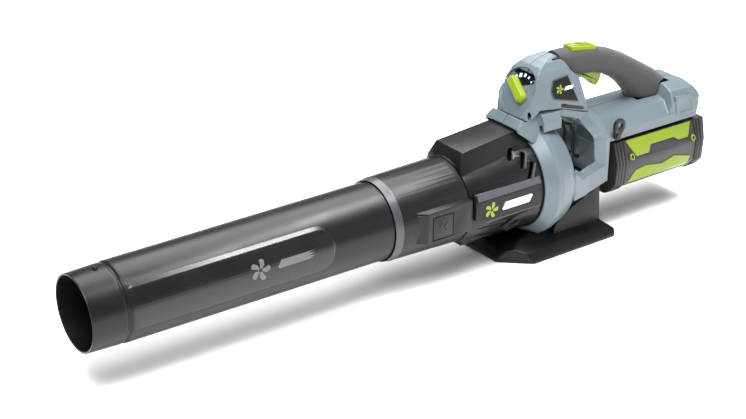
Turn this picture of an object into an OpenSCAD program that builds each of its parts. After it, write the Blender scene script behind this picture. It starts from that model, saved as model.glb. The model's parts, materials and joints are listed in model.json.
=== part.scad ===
// Hand-held battery leaf blower with an axial fan, a slide-off tube and a slide-in battery pack.
// Frame: +Z up, the nozzle points to -X, -Y is the machine's left side.
// The origin lies on the floor, under the middle of the foot.

/* [Blower tube] */
// Outer radius at the nozzle rim
nozzle_r = 45; // [38:0.5:52]
// Outer radius where the tube enters the coupler
tube_r = 48.6; // [44:0.2:52]
// Visible length from the nozzle rim to the coupler
tube_len = 390; // [250:1:520]
// Wall of the tube
tube_wall = 2.2; // [1.6:0.1:3]
// Length of the plain nozzle collar
collar_len = 43; // [30:1:60]
// Length of tube hidden inside the coupler
tube_insert = 50; // [30:1:60]

/* [Tube coupler] */
// Length of the coupler
coupler_len = 108; // [95:1:130]
// Outer radius at its rear end
coupler_r = 54.5; // [53.5:0.1:58]
// Outer radius behind the bevelled lip
coupler_front_r = 52.1; // [51.5:0.1:55]
// Length of the bevelled lip
lip_len = 10; // [6:1:14]

/* [Fan housing] */
// Length from the coupler seam to the crease of the ring
duct_len = 122; // [110:1:150]
// Outer radius at the seam
duct_front_r = 55.5; // [55:0.5:60]
// Outer radius under the ring
duct_rear_r = 63.2; // [61:0.2:63.2]
// Wall of the moulded shells
wall = 3; // [2.2:0.1:3.4]
// Inner radius of the flow liner
liner_r = 50; // [48.5:0.5:50.4]
// Length of the spigot that carries the tube
spigot_len = 38; // [34:1:44]

/* [Shroud ring] */
// Radius at the crease
ring_r = 77.5; // [76:0.5:84]
// Distance from the crease back to the ring's rear edge
ring_depth = 33.5; // [28:0.5:38]
// Outer radius at the rear edge
ring_rear_r = 68.4; // [67:0.2:72]

/* [Body] */
// Height of the fan axis over the floor
axis_h = 90; // [88:1:110]
// Distance from the front edge of the foot back to the crease
ring_setback = 65; // [60:1:75]
// Half width of the body at the rear column
body_half_w = 61; // [58:1:66]
// Distance from the crease back to the column's rear face
column_back = 96.5; // [90:0.5:110]
// Height of the deck over the fan axis
deck_z = 68; // [66:1:76]

/* [Handle] */
// Half width of the grip
grip_half_w = 17; // [15:0.5:19]
// Thickness of the soft overmould
grip_skin = 2.6; // [2:0.1:3.2]

/* [Battery pack] */
// Length of the pack
pack_len = 162; // [158:1:190]
// Half width of the pack at its ridge
pack_half_w = 56; // [54:1:62]
// Half height of the pack
pack_drop = 45; // [42:1:48]
// Length of the front and rear caps
cap_len = 18; // [14:1:24]

/* [Foot] */
// Length of the foot
foot_len = 179; // [170:1:200]
// Half width of the foot
foot_half_w = 69; // [62:1:80]

/* [Hidden] */

round_fn = 96;
soft_fn = 32;

// Clearances
seam_gap = 0.4;
slide_gap = 0.35;
seat_gap = 0.05;
pin_gap = 0.05;
split_gap = 0.1;

// Stations along the axis
foot_front = -foot_len / 2;
foot_rear = foot_len / 2;
ring_x = foot_front + ring_setback;
ring_rear_x = ring_x + ring_depth;
ring_lip_x = ring_x - 12.5;
seam_x = ring_x - duct_len;
coupler_rear = seam_x - seam_gap;
coupler_front = coupler_rear - coupler_len;
rim_x = coupler_front - tube_len;
column_x = ring_x + column_back;
pack_front = column_x + 22;
pack_rear = pack_front + pack_len;
block_rear = pack_rear - 11;
block_front = block_rear - 56;

// Spigot and coupler fit
spigot_r = coupler_r - 3.1;
sleeve_r = spigot_r + slide_gap;
spigot_front = seam_x - spigot_len;

// Fan and motor stations
fan_rear = ring_x - 6;
fan_front = fan_rear - 26;
vanes_rear = fan_front - 5;
vanes_front = vanes_rear - 46;
hub_r = 25;
tip_gap = 0.8;
shaft_r = 4;
shaft_seat_r = shaft_r + 0.02;
bearing_r = 9;

// Head face that carries the speed dial
face_tilt = 58.4;
face_low = [ring_x - 22.7, 90];
dial_up = 31.6;
dial_at = [
    face_low[0] + dial_up * cos(face_tilt),
    face_low[1] + dial_up * sin(face_tilt)
];
dial_rest = 59;
dial_len = 42;
dial_w = 13;
dial_recess_r = 29;

// ---- helpers -------------------------------------------------------------------------

// Moves heights that are counted from the fan axis to the floor frame
module on_axis() {
    translate([0, 0, axis_h]) children();
}

// Solid turned about the fan axis from an outline of [radius, x] points
module turned(outline) {
    on_axis() rotate([0, 90, 0]) rotate_extrude($fn = round_fn) polygon(outline);
}

// Outline of [x, z] points carried across the machine from y_low to y_high
module across(outline, y_low, y_high) {
    on_axis() translate([0, y_high, 0]) rotate([90, 0, 0])
        linear_extrude(y_high - y_low) polygon(outline);
}

// Outline of [y, z] points carried along the machine from x_low to x_high
module along(outline, x_low, x_high) {
    on_axis() translate([x_low, 0, 0]) rotate([90, 0, 90])
        linear_extrude(x_high - x_low) polygon(outline);
}

// Outline of [x, y] points carried up from z_low to z_high
module upward(outline, z_low, z_high) {
    on_axis() translate([0, 0, z_low]) linear_extrude(z_high - z_low) polygon(outline);
}

// Box between two corners whose heights are counted from the fan axis
module block(low, high) {
    on_axis() translate(low) cube(high - low);
}

module mirrored_y() {
    mirror([0, 1, 0]) children();
}

// Both halves of an outline of [y, z] points that is given for y <= 0
function both_sides(half) = concat(half, [for (i = [len(half) - 1:-1:0]) [-half[i][0], half[i][1]]]);

// Keeps one half of the machine: side -1 is left, +1 is right
module half_space(side) {
    low = side < 0 ? -200 : split_gap / 2;
    high = side < 0 ? -split_gap / 2 : 200;
    intersection() {
        children();
        translate([-700, low, -10]) cube([1100, high - low, 400]);
    }
}

// Pin or screw along an axis through a point given from the fan axis
module rod_y(at, r, y_low, y_high) {
    on_axis() translate([at[0], y_high, at[1]]) rotate([90, 0, 0])
        cylinder(r = r, h = y_high - y_low, $fn = round_fn);
}

// Frame on the head's face: x runs up the face, y across, z out of it
module on_face() {
    on_axis() translate([dial_at[0], 0, dial_at[1]]) rotate([0, -face_tilt, 0]) children();
}

// Sweeps rings of points into one closed solid
module swept(rings) {
    count = len(rings[0]);
    points = [for (ring = rings) each ring];
    last = (len(rings) - 1) * count;
    walls = [for (i = [0:len(rings) - 2]) for (j = [0:count - 1])
        [i * count + j, i * count + (j + 1) % count, (i + 1) * count + (j + 1) % count,
         (i + 1) * count + j]];
    start = [for (j = [count - 1:-1:0]) j];
    finish = [for (j = [0:count - 1]) last + j];
    polyhedron(points = points, faces = concat([start], walls, [finish]), convexity = 8);
}

function unit(v) = v / norm(v);

// Direction of a path at each of its points
function heading(path, i) =
    unit(path[min(i + 1, len(path) - 1)] - path[max(i - 1, 0)]);

// Round cable along a path of points
module cable(path, r, sides = 10) {
    rings = [for (i = [0:len(path) - 1])
        let (t = heading(path, i))
        let (u = unit(abs(t[1]) > 0.9 ? cross(t, [1, 0, 0]) : cross(t, [0, 1, 0])))
        let (v = cross(u, t))
        [for (k = [0:sides - 1]) path[i] + r * (cos(360 * k / sides) * u + sin(360 * k / sides) * v)]];
    swept(rings);
}

// Coil spring along +Z from the origin
module coil_spring(r, wire_r, height, turns) {
    steps = 12;
    lift = height - 2 * wire_r;
    path = [for (i = [0:steps * turns])
        [r * cos(360 * i / steps), r * sin(360 * i / steps), wire_r + lift * i / (steps * turns)]];
    rings = [for (i = [0:len(path) - 1])
        let (t = heading(path, i))
        let (u = unit([path[i][0], path[i][1], 0]))
        let (v = cross(u, t))
        [for (k = [0:5]) path[i] + wire_r * (cos(60 * k) * u + sin(60 * k) * v)]];
    swept(rings);
}

// ---- blower tube and coupler ---------------------------------------------------------

lug_x = rim_x + 29;
coupler_mid = coupler_front + tube_insert + 5;

module blower_tube() {
    color("#3b3b3d") difference() {
        union() {
            turned([
                [0, rim_x], [nozzle_r, rim_x], [nozzle_r + 1, rim_x + collar_len - 3],
                [nozzle_r, rim_x + collar_len], [nozzle_r + 1.8, rim_x + collar_len + 4],
                [tube_r, coupler_front - 6], [tube_r, coupler_front + tube_insert],
                [0, coupler_front + tube_insert]
            ]);
            // bayonet lugs for a snap-on nozzle
            for (z = [nozzle_r, -nozzle_r - 3.4])
                on_axis() translate([lug_x, 0, z]) cylinder(r = 3, h = 3.4, $fn = soft_fn);
        }
        turned([
            [0, rim_x - 1], [nozzle_r - tube_wall, rim_x - 1],
            [nozzle_r - tube_wall, rim_x + collar_len], [tube_r - tube_wall, coupler_front - 6],
            [tube_r - tube_wall, coupler_front + tube_insert + 1], [0, coupler_front + tube_insert + 1]
        ]);
    }
}

// Raised boss on each side of the coupler that holds a latch
boss_front = coupler_front + 41;
boss_y = coupler_r + 4;
pad_front = coupler_front + 49;
pad_rear = pad_front + 29;
pad_z = [-17, 12];
pad_y = coupler_r + 4.2;
pad_floor = coupler_r - 1;
pin_x = coupler_front + 62;
pin_y = coupler_r + 1.8;
latch_pin_r = 1.2;
arm_z = [-7, 3];
hook_x = seam_x - 17.5;
hook_depth = 1.5;

module coupler_boss() {
    upward([
        [boss_front - 12, -coupler_front_r + 4], [boss_front, -boss_y], [coupler_rear, -boss_y],
        [coupler_rear, -coupler_r + 12], [boss_front - 12, -coupler_r + 12]
    ], -20, 20);
}

module latch_window() {
    block([pad_front - 0.6, -boss_y - 3, pad_z[0] - 0.6], [pad_rear + 0.6, -pad_floor, pad_z[1] + 0.6]);
    // room for the arm behind the boss skin
    block([pad_rear - 1, -boss_y + 0.9, arm_z[0] - 0.8], [hook_x + 5, -sleeve_r + 3, arm_z[1] + 0.8]);
    // bore for the pivot pin
    on_axis() translate([pin_x, -pin_y, pad_z[0] - 2.5])
        cylinder(r = latch_pin_r, h = pad_z[1] - pad_z[0] + 5, $fn = round_fn);
}

module tube_coupler() {
    color("#38383a") difference() {
        union() {
            turned([
                [0, coupler_front], [coupler_front_r - 1.8, coupler_front],
                [coupler_front_r, coupler_front + lip_len], [coupler_r, coupler_rear], [0, coupler_rear]
            ]);
            coupler_boss();
            mirrored_y() coupler_boss();
        }
        turned([
            [0, coupler_front - 1], [tube_r + 1, coupler_front - 1], [tube_r + 1, coupler_front + 2],
            [tube_r + seat_gap, coupler_front + 2], [tube_r + seat_gap, coupler_mid - 4],
            [sleeve_r, coupler_mid], [sleeve_r, coupler_rear + 1], [0, coupler_rear + 1]
        ]);
        latch_window();
        mirrored_y() latch_window();
    }
}

module tube_seal() {
    color("#1d1d1e") turned([
        [tube_r + seat_gap, coupler_mid - 5 + 1.4], [sleeve_r - 0.1, coupler_mid + 0.2],
        [sleeve_r - 0.1, coupler_mid + 2.6], [tube_r - tube_wall + 0.6, coupler_mid + 2.6],
        [tube_r - tube_wall + 0.6, coupler_mid - 4.8], [tube_r + seat_gap, coupler_mid - 4.8]
    ]);
}

module latch_body() {
    difference() {
        union() {
            block([pad_front, -pad_y, pad_z[0]], [pad_rear, -pad_y + 3.5, pad_z[1]]);
            block([pad_rear - 6, -pad_y + 3, arm_z[0]], [pad_rear, -pad_y + 5, arm_z[1]]);
            on_axis() translate([pin_x, -pin_y, pad_z[0]])
                cylinder(r = 2.4, h = pad_z[1] - pad_z[0], $fn = round_fn);
            // arm with the hook that holds the spigot
            block([pad_rear - 0.5, -pad_y + 3.5 - 0.1, arm_z[0]], [hook_x + 4, -pad_y + 5, arm_z[1]]);
            block([hook_x, -pad_y + 4.9, arm_z[0]], [hook_x + 4, -spigot_r + hook_depth, arm_z[1]]);
            // chevrons that show which way the tube comes off
            for (x = [pin_x - 5, pin_x + 2])
                across([
                    [x, -2.5], [x + 5, 3.5], [x + 7, 3.5], [x + 2, -2.5], [x + 7, -8.5], [x + 5, -8.5]
                ], -pad_y - 0.6, -pad_y + 0.1);
        }
        on_axis() translate([pin_x, -pin_y, pad_z[0] - 1])
            cylinder(r = latch_pin_r + pin_gap, h = pad_z[1] - pad_z[0] + 2, $fn = round_fn);
    }
}

module tube_latch_left() {
    color("#2e2e30") latch_body();
}

module tube_latch_right() {
    color("#2e2e30") mirrored_y() latch_body();
}

module latch_pins() {
    color("#b9bcc0") for (side = [-1, 1])
        on_axis() translate([pin_x, side * pin_y, pad_z[0] - 2.4])
            cylinder(r = latch_pin_r, h = pad_z[1] - pad_z[0] + 4.8, $fn = round_fn);
}

// Leaf springs that push the front of each pad outward
module latch_springs() {
    color("#c9ccd0") for (side = [-1, 1]) scale([1, -side, 1])
        upward([
            [pad_front + 1, -pad_floor], [pad_front + 4, -pad_floor - 0.5],
            [pad_front + 8, -pad_floor], [pad_front + 9, -pad_floor], [pad_front + 4, -pad_floor - 0.9],
            [pad_front, -pad_floor]
        ], -8, 4);
}

// ---- fan housing ---------------------------------------------------------------------

blister_half_w = 25;
blister_front_z = 68;
blister_rear_z = 79;
slope_r = (duct_rear_r - duct_front_r) / (ring_lip_x + 2 - seam_x);

// Outer radius of the fan housing at a station along the axis
function duct_r(x) = duct_front_r + slope_r * (x - seam_x);

module blister(inset) {
    top_in = inset * 1.2;
    intersection() {
        across([
            [seam_x + inset, 40], [seam_x + inset, 51], [seam_x + 7.5 + inset, blister_front_z - top_in],
            [ring_lip_x + 8, blister_rear_z - top_in], [ring_lip_x + 8, 40]
        ], -40, 40);
        along([
            [-37 + inset, 38], [-blister_half_w + inset, blister_front_z + 2],
            [-blister_half_w + inset + 2, blister_rear_z + 1],
            [blister_half_w - inset - 2, blister_rear_z + 1],
            [blister_half_w - inset, blister_front_z + 2], [37 - inset, 38]
        ], seam_x - 1, ring_x);
    }
}

module inlet_slot(angle, x) {
    on_axis() rotate([angle, 0, 0]) translate([x, 0, duct_r(x) - 8]) rotate([0, 0, 58])
        cube([23, 5, 24], center = true);
}

belly_z = -61.5;

module fan_housing() {
    color("#3f3f42") difference() {
        union() {
            turned([
                [0, spigot_front], [spigot_r - 1, spigot_front], [spigot_r, spigot_front + 2],
                [spigot_r, seam_x], [duct_front_r, seam_x], [duct_rear_r, ring_lip_x + 2],
                [duct_rear_r, ring_x + 2], [0, ring_x + 2]
            ]);
            blister(0);
            // belly that meets the foot
            intersection() {
                across([[seam_x + 4, -40], [seam_x + 14, belly_z], [ring_lip_x, belly_z - 2],
                        [ring_lip_x, -40]], -24, 24);
                along([[-24, -40], [-24, -56], [-17, belly_z - 2], [17, belly_z - 2], [24, -56],
                       [24, -40]], seam_x, ring_lip_x);
            }
        }
        // flow space
        turned([
            [0, spigot_front - 1], [spigot_r - 2.2, spigot_front - 1], [spigot_r - 2.2, seam_x + 2],
            [duct_front_r - wall, seam_x + 5], [duct_rear_r - wall, ring_lip_x + 2],
            [duct_rear_r - wall, ring_x + 3], [0, ring_x + 3]
        ]);
        // hollow inside the blister
        blister(wall);
        // pockets for the two tube hooks, open towards the nozzle
        for (side = [-1, 1]) scale([1, -side, 1])
            block([spigot_front - 1, -spigot_r - 1, arm_z[0] - 1.5],
                  [hook_x + 5, -spigot_r + hook_depth + 1.2, arm_z[1] + 1.5]);
        // diagonal inlet slots on both sides
        for (side = [-1, 1]) scale([1, side, 1]) {
            inlet_slot(30, ring_x - 44);
            inlet_slot(44, ring_x - 33);
            inlet_slot(58, ring_x - 27);
            inlet_slot(118, ring_x - 62);
            inlet_slot(130, ring_x - 50);
        }
    }
}

plate_front = seam_x + 3;
plate_rear = ring_lip_x - 0.5;
plate_y = duct_front_r + 6;
plate_gap = 0.25;

module badge_plate() {
    difference() {
        intersection() {
            along([[-plate_y + 8, 24], [-plate_y + 4, 25], [-plate_y, 16], [-plate_y, -14],
                   [-plate_y + 5, -22], [-plate_y + 12, -22]], plate_front, plate_rear);
            across([[plate_front, 26], [plate_rear, 24], [plate_rear, -24], [plate_front + 18, -20],
                    [plate_front, -8]], -plate_y - 1, -40);
        }
        turned([[0, seam_x - 1], [duct_r(seam_x - 1) + plate_gap, seam_x - 1],
                [duct_r(ring_lip_x + 2) + plate_gap, ring_lip_x + 2], [0, ring_lip_x + 2]]);
    }
    // one long plain bar stands out of the plate
    across([
        [plate_front + 20, -1], [plate_front + 24, 4], [plate_front + 76, 4], [plate_front + 80, -1],
        [plate_front + 76, -6], [plate_front + 24, -6]
    ], -plate_y - 0.8, -plate_y);
}

module badge_plate_left() {
    color("#48484b") badge_plate();
}

module badge_plate_right() {
    color("#48484b") mirrored_y() badge_plate();
}

// ---- fan, stator and motor -----------------------------------------------------------

liner_out = liner_r + 2;

module flow_liner() {
    color("#2c2c2e") difference() {
        turned([
            [liner_r, seam_x + 6], [duct_front_r - wall - seat_gap - 0.1, seam_x + 6],
            [duct_front_r - wall - seat_gap - 0.1, seam_x + 9], [liner_out, seam_x + 12],
            [liner_out, ring_lip_x], [duct_rear_r - wall - seat_gap - 0.1, ring_lip_x + 4],
            [duct_rear_r - wall - seat_gap - 0.1, ring_x + 2], [liner_r + 3, ring_x + 2],
            [liner_r, ring_x - 5]
        ]);
        // passage for the motor cables
        on_axis() translate([vanes_front + 14, 0, 40]) cylinder(r = 4.5, h = 20, $fn = round_fn);
    }
}

module stator_vanes() {
    vane_count = 7;
    color("#4a4a4d") difference() {
        union() {
            turned([[liner_r - 2, vanes_front], [liner_r - seat_gap, vanes_front],
                    [liner_r - seat_gap, vanes_rear], [liner_r - 2, vanes_rear]]);
            turned([[0, vanes_front], [hub_r, vanes_front], [hub_r, vanes_rear], [0, vanes_rear]]);
            for (i = [0:vane_count - 1])
                on_axis() rotate([(i + 0.5) * 360 / vane_count, 0, 0])
                    translate([(vanes_front + vanes_rear) / 2, 0, (hub_r + liner_r) / 2 - 1.2])
                        rotate([0, 0, 14]) cube([40, 2, liner_r - hub_r - 0.2], center = true);
        }
        // motor chamber, open towards the nose cone
        turned([[0, vanes_front - 1], [hub_r - 2.2, vanes_front - 1], [hub_r - 2.2, vanes_rear - 3],
                [0, vanes_rear - 3]]);
        // seat of the rear bearing
        turned([[0, vanes_rear - 8], [bearing_r, vanes_rear - 8], [bearing_r, vanes_rear + 1],
                [0, vanes_rear + 1]]);
        on_axis() translate([vanes_front + 14, 0, 20]) cylinder(r = 3, h = 40, $fn = round_fn);
    }
}

module nose_cone() {
    color("#333335") difference() {
        union() {
            turned([[0, vanes_front - 44], [7, vanes_front - 42], [15, vanes_front - 30],
                    [21.5, vanes_front - 14], [hub_r, vanes_front - seam_gap], [0, vanes_front - seam_gap]]);
            turned([[0, vanes_front - 1], [hub_r - 2.3, vanes_front - 1], [hub_r - 2.3, vanes_front + 4],
                    [0, vanes_front + 4]]);
        }
        turned([[0, vanes_front - 38], [5, vanes_front - 36], [13, vanes_front - 26],
                [19, vanes_front - 12], [20, vanes_front - 8], [20, vanes_front - 5],
                [bearing_r, vanes_front - 5], [bearing_r, vanes_front + 2], [hub_r - 5, vanes_front + 2],
                [hub_r - 5, vanes_front + 5], [0, vanes_front + 5]]);
    }
}

motor_front = vanes_front + 6;
motor_rear = vanes_rear - 6;

module motor_stator() {
    tooth_count = 12;
    color("#b87333") difference() {
        union() {
            turned([[10, motor_front + 6], [12.5, motor_front + 6], [12.5, motor_rear - 8],
                    [10, motor_rear - 8]]);
            for (i = [0:tooth_count - 1])
                on_axis() rotate([i * 360 / tooth_count, 0, 0])
                    translate([(motor_front + motor_rear) / 2 - 1, 0, 14.4])
                        cube([motor_rear - motor_front - 16, 3.4, 4.6], center = true);
        }
    }
    // carrier tube fixed to the rear wall of the chamber
    color("#8d9094") turned([[6.2, motor_front + 8], [10, motor_front + 8], [10, vanes_rear - 8.05],
                             [bearing_r + 0.8, vanes_rear - 8.05], [bearing_r - 1, vanes_rear - 9],
                             [6.2, motor_rear - 12]]);
}

module bearing(x) {
    turned([[shaft_r, x], [5.6, x], [5.6, x + 0.6], [7.4, x + 0.6], [7.4, x], [bearing_r - 0.02, x],
            [bearing_r - 0.02, x + 6], [7.4, x + 6], [7.4, x + 5.4], [5.6, x + 5.4], [5.6, x + 6],
            [shaft_r, x + 6]]);
}

module motor_bearings() {
    color("#c9ccd0") difference() {
        union() {
            bearing(vanes_rear - 7);
            bearing(vanes_front - 4.6);
        }
        turned([[0, rim_x], [shaft_r + 0.03, rim_x], [shaft_r + 0.03, pack_rear], [0, pack_rear]]);
    }
}

module motor_rotor() {
    can_out = hub_r - 3.2;
    color("#6f7377") turned([
        [shaft_seat_r, motor_front], [can_out, motor_front], [can_out, motor_rear - 2],
        [can_out - 4, motor_rear - 2], [can_out - 4, motor_front + 2.5], [shaft_r + 2, motor_front + 2.5],
        [shaft_r + 1.5, motor_front + 6], [shaft_seat_r, motor_front + 6]
    ]);
}

module motor_shaft() {
    color("#d4d6d9") turned([
        [0, vanes_front - 4.4], [shaft_r - 0.6, vanes_front - 4.4], [shaft_r, vanes_front - 3.8],
        [shaft_r, fan_rear + 5], [shaft_r - 0.6, fan_rear + 5.6], [0, fan_rear + 5.6]
    ]);
}

module impeller() {
    blade_count = 11;
    color("#505054") difference() {
        union() {
            turned([[shaft_r, fan_front], [hub_r, fan_front], [hub_r, fan_rear - 6],
                    [hub_r - 3, fan_rear - 1.5], [hub_r - 9, fan_rear], [shaft_r, fan_rear]]);
            for (i = [0:blade_count - 1])
                on_axis() rotate([i * 360 / blade_count, 0, 0])
                    intersection() {
                        translate([(fan_front + fan_rear) / 2, 0, (hub_r + liner_r) / 2 - 1.4])
                            rotate([0, 0, 38]) cube([28, 2.2, liner_r - hub_r + 1], center = true);
                        rotate([0, 90, 0]) translate([0, 0, fan_front + 1])
                            cylinder(r = liner_r - tip_gap, h = fan_rear - fan_front - 4, $fn = round_fn);
                    }
        }
        // hub is hollow towards the motor
        turned([[shaft_r + 4, fan_front - 1], [hub_r - 3, fan_front - 1], [hub_r - 3, fan_rear - 9],
                [shaft_r + 4, fan_rear - 9]]);
        turned([[0, fan_front - 1], [shaft_seat_r, fan_front - 1], [shaft_seat_r, fan_rear + 1],
                [0, fan_rear + 1]]);
    }
}

module impeller_nut() {
    color("#c9ccd0") difference() {
        on_axis() translate([fan_rear, 0, 0]) rotate([0, 90, 0]) cylinder(r = 8, h = 4.6, $fn = 6);
        turned([[0, fan_rear - 1], [shaft_seat_r, fan_rear - 1], [shaft_seat_r, fan_rear + 5],
                [0, fan_rear + 5]]);
    }
}

// Bell mouth with a guard of radial bars and rings behind the fan
module inlet_bell() {
    guard_x = ring_x + 12;
    color("#2a2a2c") {
        turned([[liner_r + 3, ring_x + 2.2], [63, ring_x + 2.2], [72, ring_x + 6], [72, ring_x + 8],
                [62, ring_x + 6.5], [55, guard_x + 2], [51, guard_x + 2], [51, ring_x + 8]]);
        for (r = [14, 26, 38])
            turned([[r, guard_x], [r + 2, guard_x], [r + 2, guard_x + 2], [r, guard_x + 2]]);
        for (i = [0:11])
            on_axis() rotate([i * 30, 0, 0])
                translate([guard_x + 1, 0, 33]) cube([1.8, 1.8, 37], center = true);
    }
}

// ---- body shells ---------------------------------------------------------------------

// Half outline of the body across its width, given for y <= 0
frame_half = [[-78, -20], [-78, 26], [-body_half_w, 50], [-46, 66], [-34, 90], [-20, 97]];
frame_half_in = [[-74, -120], [-74, 26], [-body_half_w + 4.5, 47], [-43, 60], [-30, 84], [-18, 90]];

window_outline = [
    [ring_rear_x, 26], [ring_rear_x, 84], [ring_rear_x + 4, 82], [ring_x + 64.5, 73],
    [ring_x + 74.5, 54], [ring_x + 76.5, 27], [ring_x + 78.5, 17], [ring_x + 50.5, 12],
    [ring_x + 40.5, 19]
];

frame_outline = [
    [ring_x + 4, 60], [ring_x + 4, 97], [ring_x + 30, 96], [ring_x + 68, 82],
    [column_x - 6, 76], [column_x, 70], [column_x, -11], [ring_x + 49, -22],
    [ring_x + 15, -51], [ring_x + 4, -64], [ring_x + 4, -20]
];

// The body's taper from the ring to the column, in plan
function taper(inset) = [
    [ring_x, -78 + inset], [ring_rear_x - 4, -70 + inset], [ring_x + 64, -body_half_w - 1.5 + inset],
    [column_x + 1, -body_half_w + inset], [column_x + 1, body_half_w - inset],
    [ring_x + 64, body_half_w + 1.5 - inset], [ring_rear_x - 4, 70 - inset], [ring_x, 78 - inset]
];

module ring_solid(inner) {
    if (inner)
        turned([[0, ring_lip_x - 1], [64.2, ring_lip_x - 1], [64.2, ring_x - 9], [ring_r - 3.5, ring_x + 1],
                [ring_r - 4, ring_x + 9], [ring_rear_r - 0.6, ring_x + 23],
                [ring_rear_r - 3.2, ring_rear_x + 0.01], [0, ring_rear_x + 0.01]]);
    else
        turned([[0, ring_lip_x], [66.6, ring_lip_x], [ring_r, ring_x], [ring_r - 0.9, ring_x + 9.5],
                [ring_rear_r + 4, ring_x + 23.5], [ring_rear_r, ring_rear_x], [0, ring_rear_x]]);
}

module frame_solid() {
    intersection() {
        across(frame_outline, -80, 80);
        along(both_sides(frame_half), ring_x, column_x + 1);
        upward(taper(0), -100, 100);
        along([[-78, -12], [-48, -70], [48, -70], [78, -12], [78, 100], [-78, 100]], ring_x, column_x + 1);
    }
}

module frame_hollow() {
    intersection() {
        across([
            [ring_x + 3, 58], [ring_x + 3, 78], [ring_x + 30, 80], [ring_x + 66, 68],
            [column_x - 10, 62], [column_x - 4.5, 50], [column_x - 4.5, -120], [ring_x + 3, -120]
        ], -80, 80);
        along(both_sides(frame_half_in), ring_x, column_x + 1);
        upward(taper(4.5), -130, 100);
    }
}

// Sloped collar ahead of the head, over the rear of the blister
collar_half_w = 30;

module collar_solid() {
    intersection() {
        across([
            [face_low[0] - 9.6, 75.5], [face_low[0] - 9.6, 79.5], [face_low[0] - 0.4, 89.4],
            [face_low[0] + 6.4, 84.8], [ring_x + 2, 97], [ring_x + 10, 97], [ring_x + 10, 60],
            [ring_lip_x, 60]
        ], -collar_half_w - 8, collar_half_w + 8);
        along([[-38, 58], [-30, 84], [-24, 98], [24, 98], [30, 84], [38, 58]], face_low[0] - 12, ring_x + 10);
    }
}

module collar_hollow() {
    intersection() {
        across([
            [face_low[0] - 12, 60], [face_low[0] - 12, blister_rear_z - 1.8], [ring_lip_x - 4, 80],
            [ring_x - 2, 88], [ring_x + 11, 88], [ring_x + 11, 50], [face_low[0] - 12, 50]
        ], -40, 40);
        along([[-35, 50], [-26.5, 82], [-21, 90], [21, 90], [26.5, 82], [35, 50]],
              face_low[0] - 13, ring_x + 11);
    }
}

// Bridge over the battery pack, from the column to the rear block
bridge_half = [[-46, 33.5], [-47, 47], [-31, 62], [-12, deck_z - 2]];
bridge_half_in = [[-43, 36.5], [-43.5, 46], [-29.5, 58.5], [-12, deck_z - 5.2]];

block_half = [[-46, 33.5], [-46.5, 63], [-38, 74], [-22, 80]];
block_half_in = [[-43, 36.5], [-43.2, 62], [-36, 71], [-21, 76.6]];

module rear_solid() {
    along(both_sides(bridge_half), column_x - 5, block_front + 20);
    intersection() {
        along(both_sides(block_half), block_front, block_rear);
        across([
            [block_front, 33], [block_front, 46], [block_front + 12, 81], [block_rear - 8, 81],
            [block_rear, 66], [block_rear, 48], [block_rear - 3, 33]
        ], -50, 50);
    }
}

module rear_hollow() {
    along(both_sides(bridge_half_in), column_x - 6, block_front + 21);
    intersection() {
        along(both_sides(block_half_in), block_front + 4, block_rear - 3.2);
        across([
            [block_front + 4, 30], [block_front + 4, 48], [block_front + 14, 77.5],
            [block_rear - 10, 77.5], [block_rear - 3.4, 65], [block_rear - 3.4, 49],
            [block_rear - 6, 30]
        ], -50, 50);
    }
}

latch_pivot = [block_rear - 24, 58];
body_screw_at = [[column_x + 52, 42], [block_front + 8, 42], [block_rear - 10, 42]];
latch_half_w = 9;

module body_solid() {
    difference() {
        union() {
            difference() {
                union() {
                    ring_solid(false);
                    frame_solid();
                    collar_solid();
                }
                ring_solid(true);
                frame_hollow();
                collar_hollow();
                blister(-0.3);
                across(window_outline, -90, 90);
            }
            difference() {
                rear_solid();
                rear_hollow();
            }
            // walls that carry the battery latch pin
            for (side = [-1, 1])
                block([latch_pivot[0] - 5, side * (latch_half_w + 3) - 2, 36],
                      [latch_pivot[0] + 5, side * (latch_half_w + 3) + 2, 77]);
        }
        // grip and handle frame pass through the deck and the block
        handle_envelope(0.3);
        // opening for the battery latch and its finger tab
        block([latch_pivot[0] - 28.5, -latch_half_w - 1, 30], [latch_pivot[0] - 8, latch_half_w + 1, 38]);
        block([block_rear - 9, -latch_half_w - 1, 46], [block_rear + 1, latch_half_w + 1, 67]);
        rod_y(latch_pivot, 2 + pin_gap, -latch_half_w - 6, latch_half_w + 6);
        // foot screws and strap screw
        for (at = foot_screw_at) foot_screw_hole(at);
        rod_y(eyelet_screw_at, 1.7, -60, -30);
        // the head stands on the deck
        head_clearance();
        cable_ports();
        for (at = body_screw_at) rod_y(at, 2.45, 43, 60);
    }
}

module body_shell_left() {
    color("#8f999e") half_space(-1) body_solid();
}

module body_shell_right() {
    color("#8f999e") half_space(1) body_solid();
}

// ---- head ----------------------------------------------------------------------------

head_outline = [
    [face_low[0], 90], [face_low[0] + 25.7, 140], [face_low[0] + 33.2, 147],
    [face_low[0] + 44, 153], [face_low[0] + 62, 157], [face_low[0] + 73, 148],
    [face_low[0] + 78, 138], [face_low[0] + 91, 126], [face_low[0] + 102, 90],
    [face_low[0] + 105, 78], [face_low[0] + 91, 82.5], [face_low[0] + 59, 93],
    [face_low[0] + 24, 97.5], [face_low[0] + 7, 85.5]
];
head_inside = [
    [face_low[0] + 8, 96], [face_low[0] + 29, 137], [face_low[0] + 36, 143],
    [face_low[0] + 46, 149.5], [face_low[0] + 60, 153], [face_low[0] + 69, 146],
    [face_low[0] + 75, 135], [face_low[0] + 87, 123], [face_low[0] + 97, 92],
    [face_low[0] + 92, 80], [face_low[0] + 59, 80], [face_low[0] + 24, 80], [face_low[0] + 10, 80]
];
head_half = [[-35, 74], [-33, 95], [-28, 128], [-24, 141], [-17, 151], [-8, 157]];
head_half_in = [[-32.4, 70], [-30.4, 95], [-25.4, 127], [-21.5, 139.5], [-15, 148.5], [-7, 154]];

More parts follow.
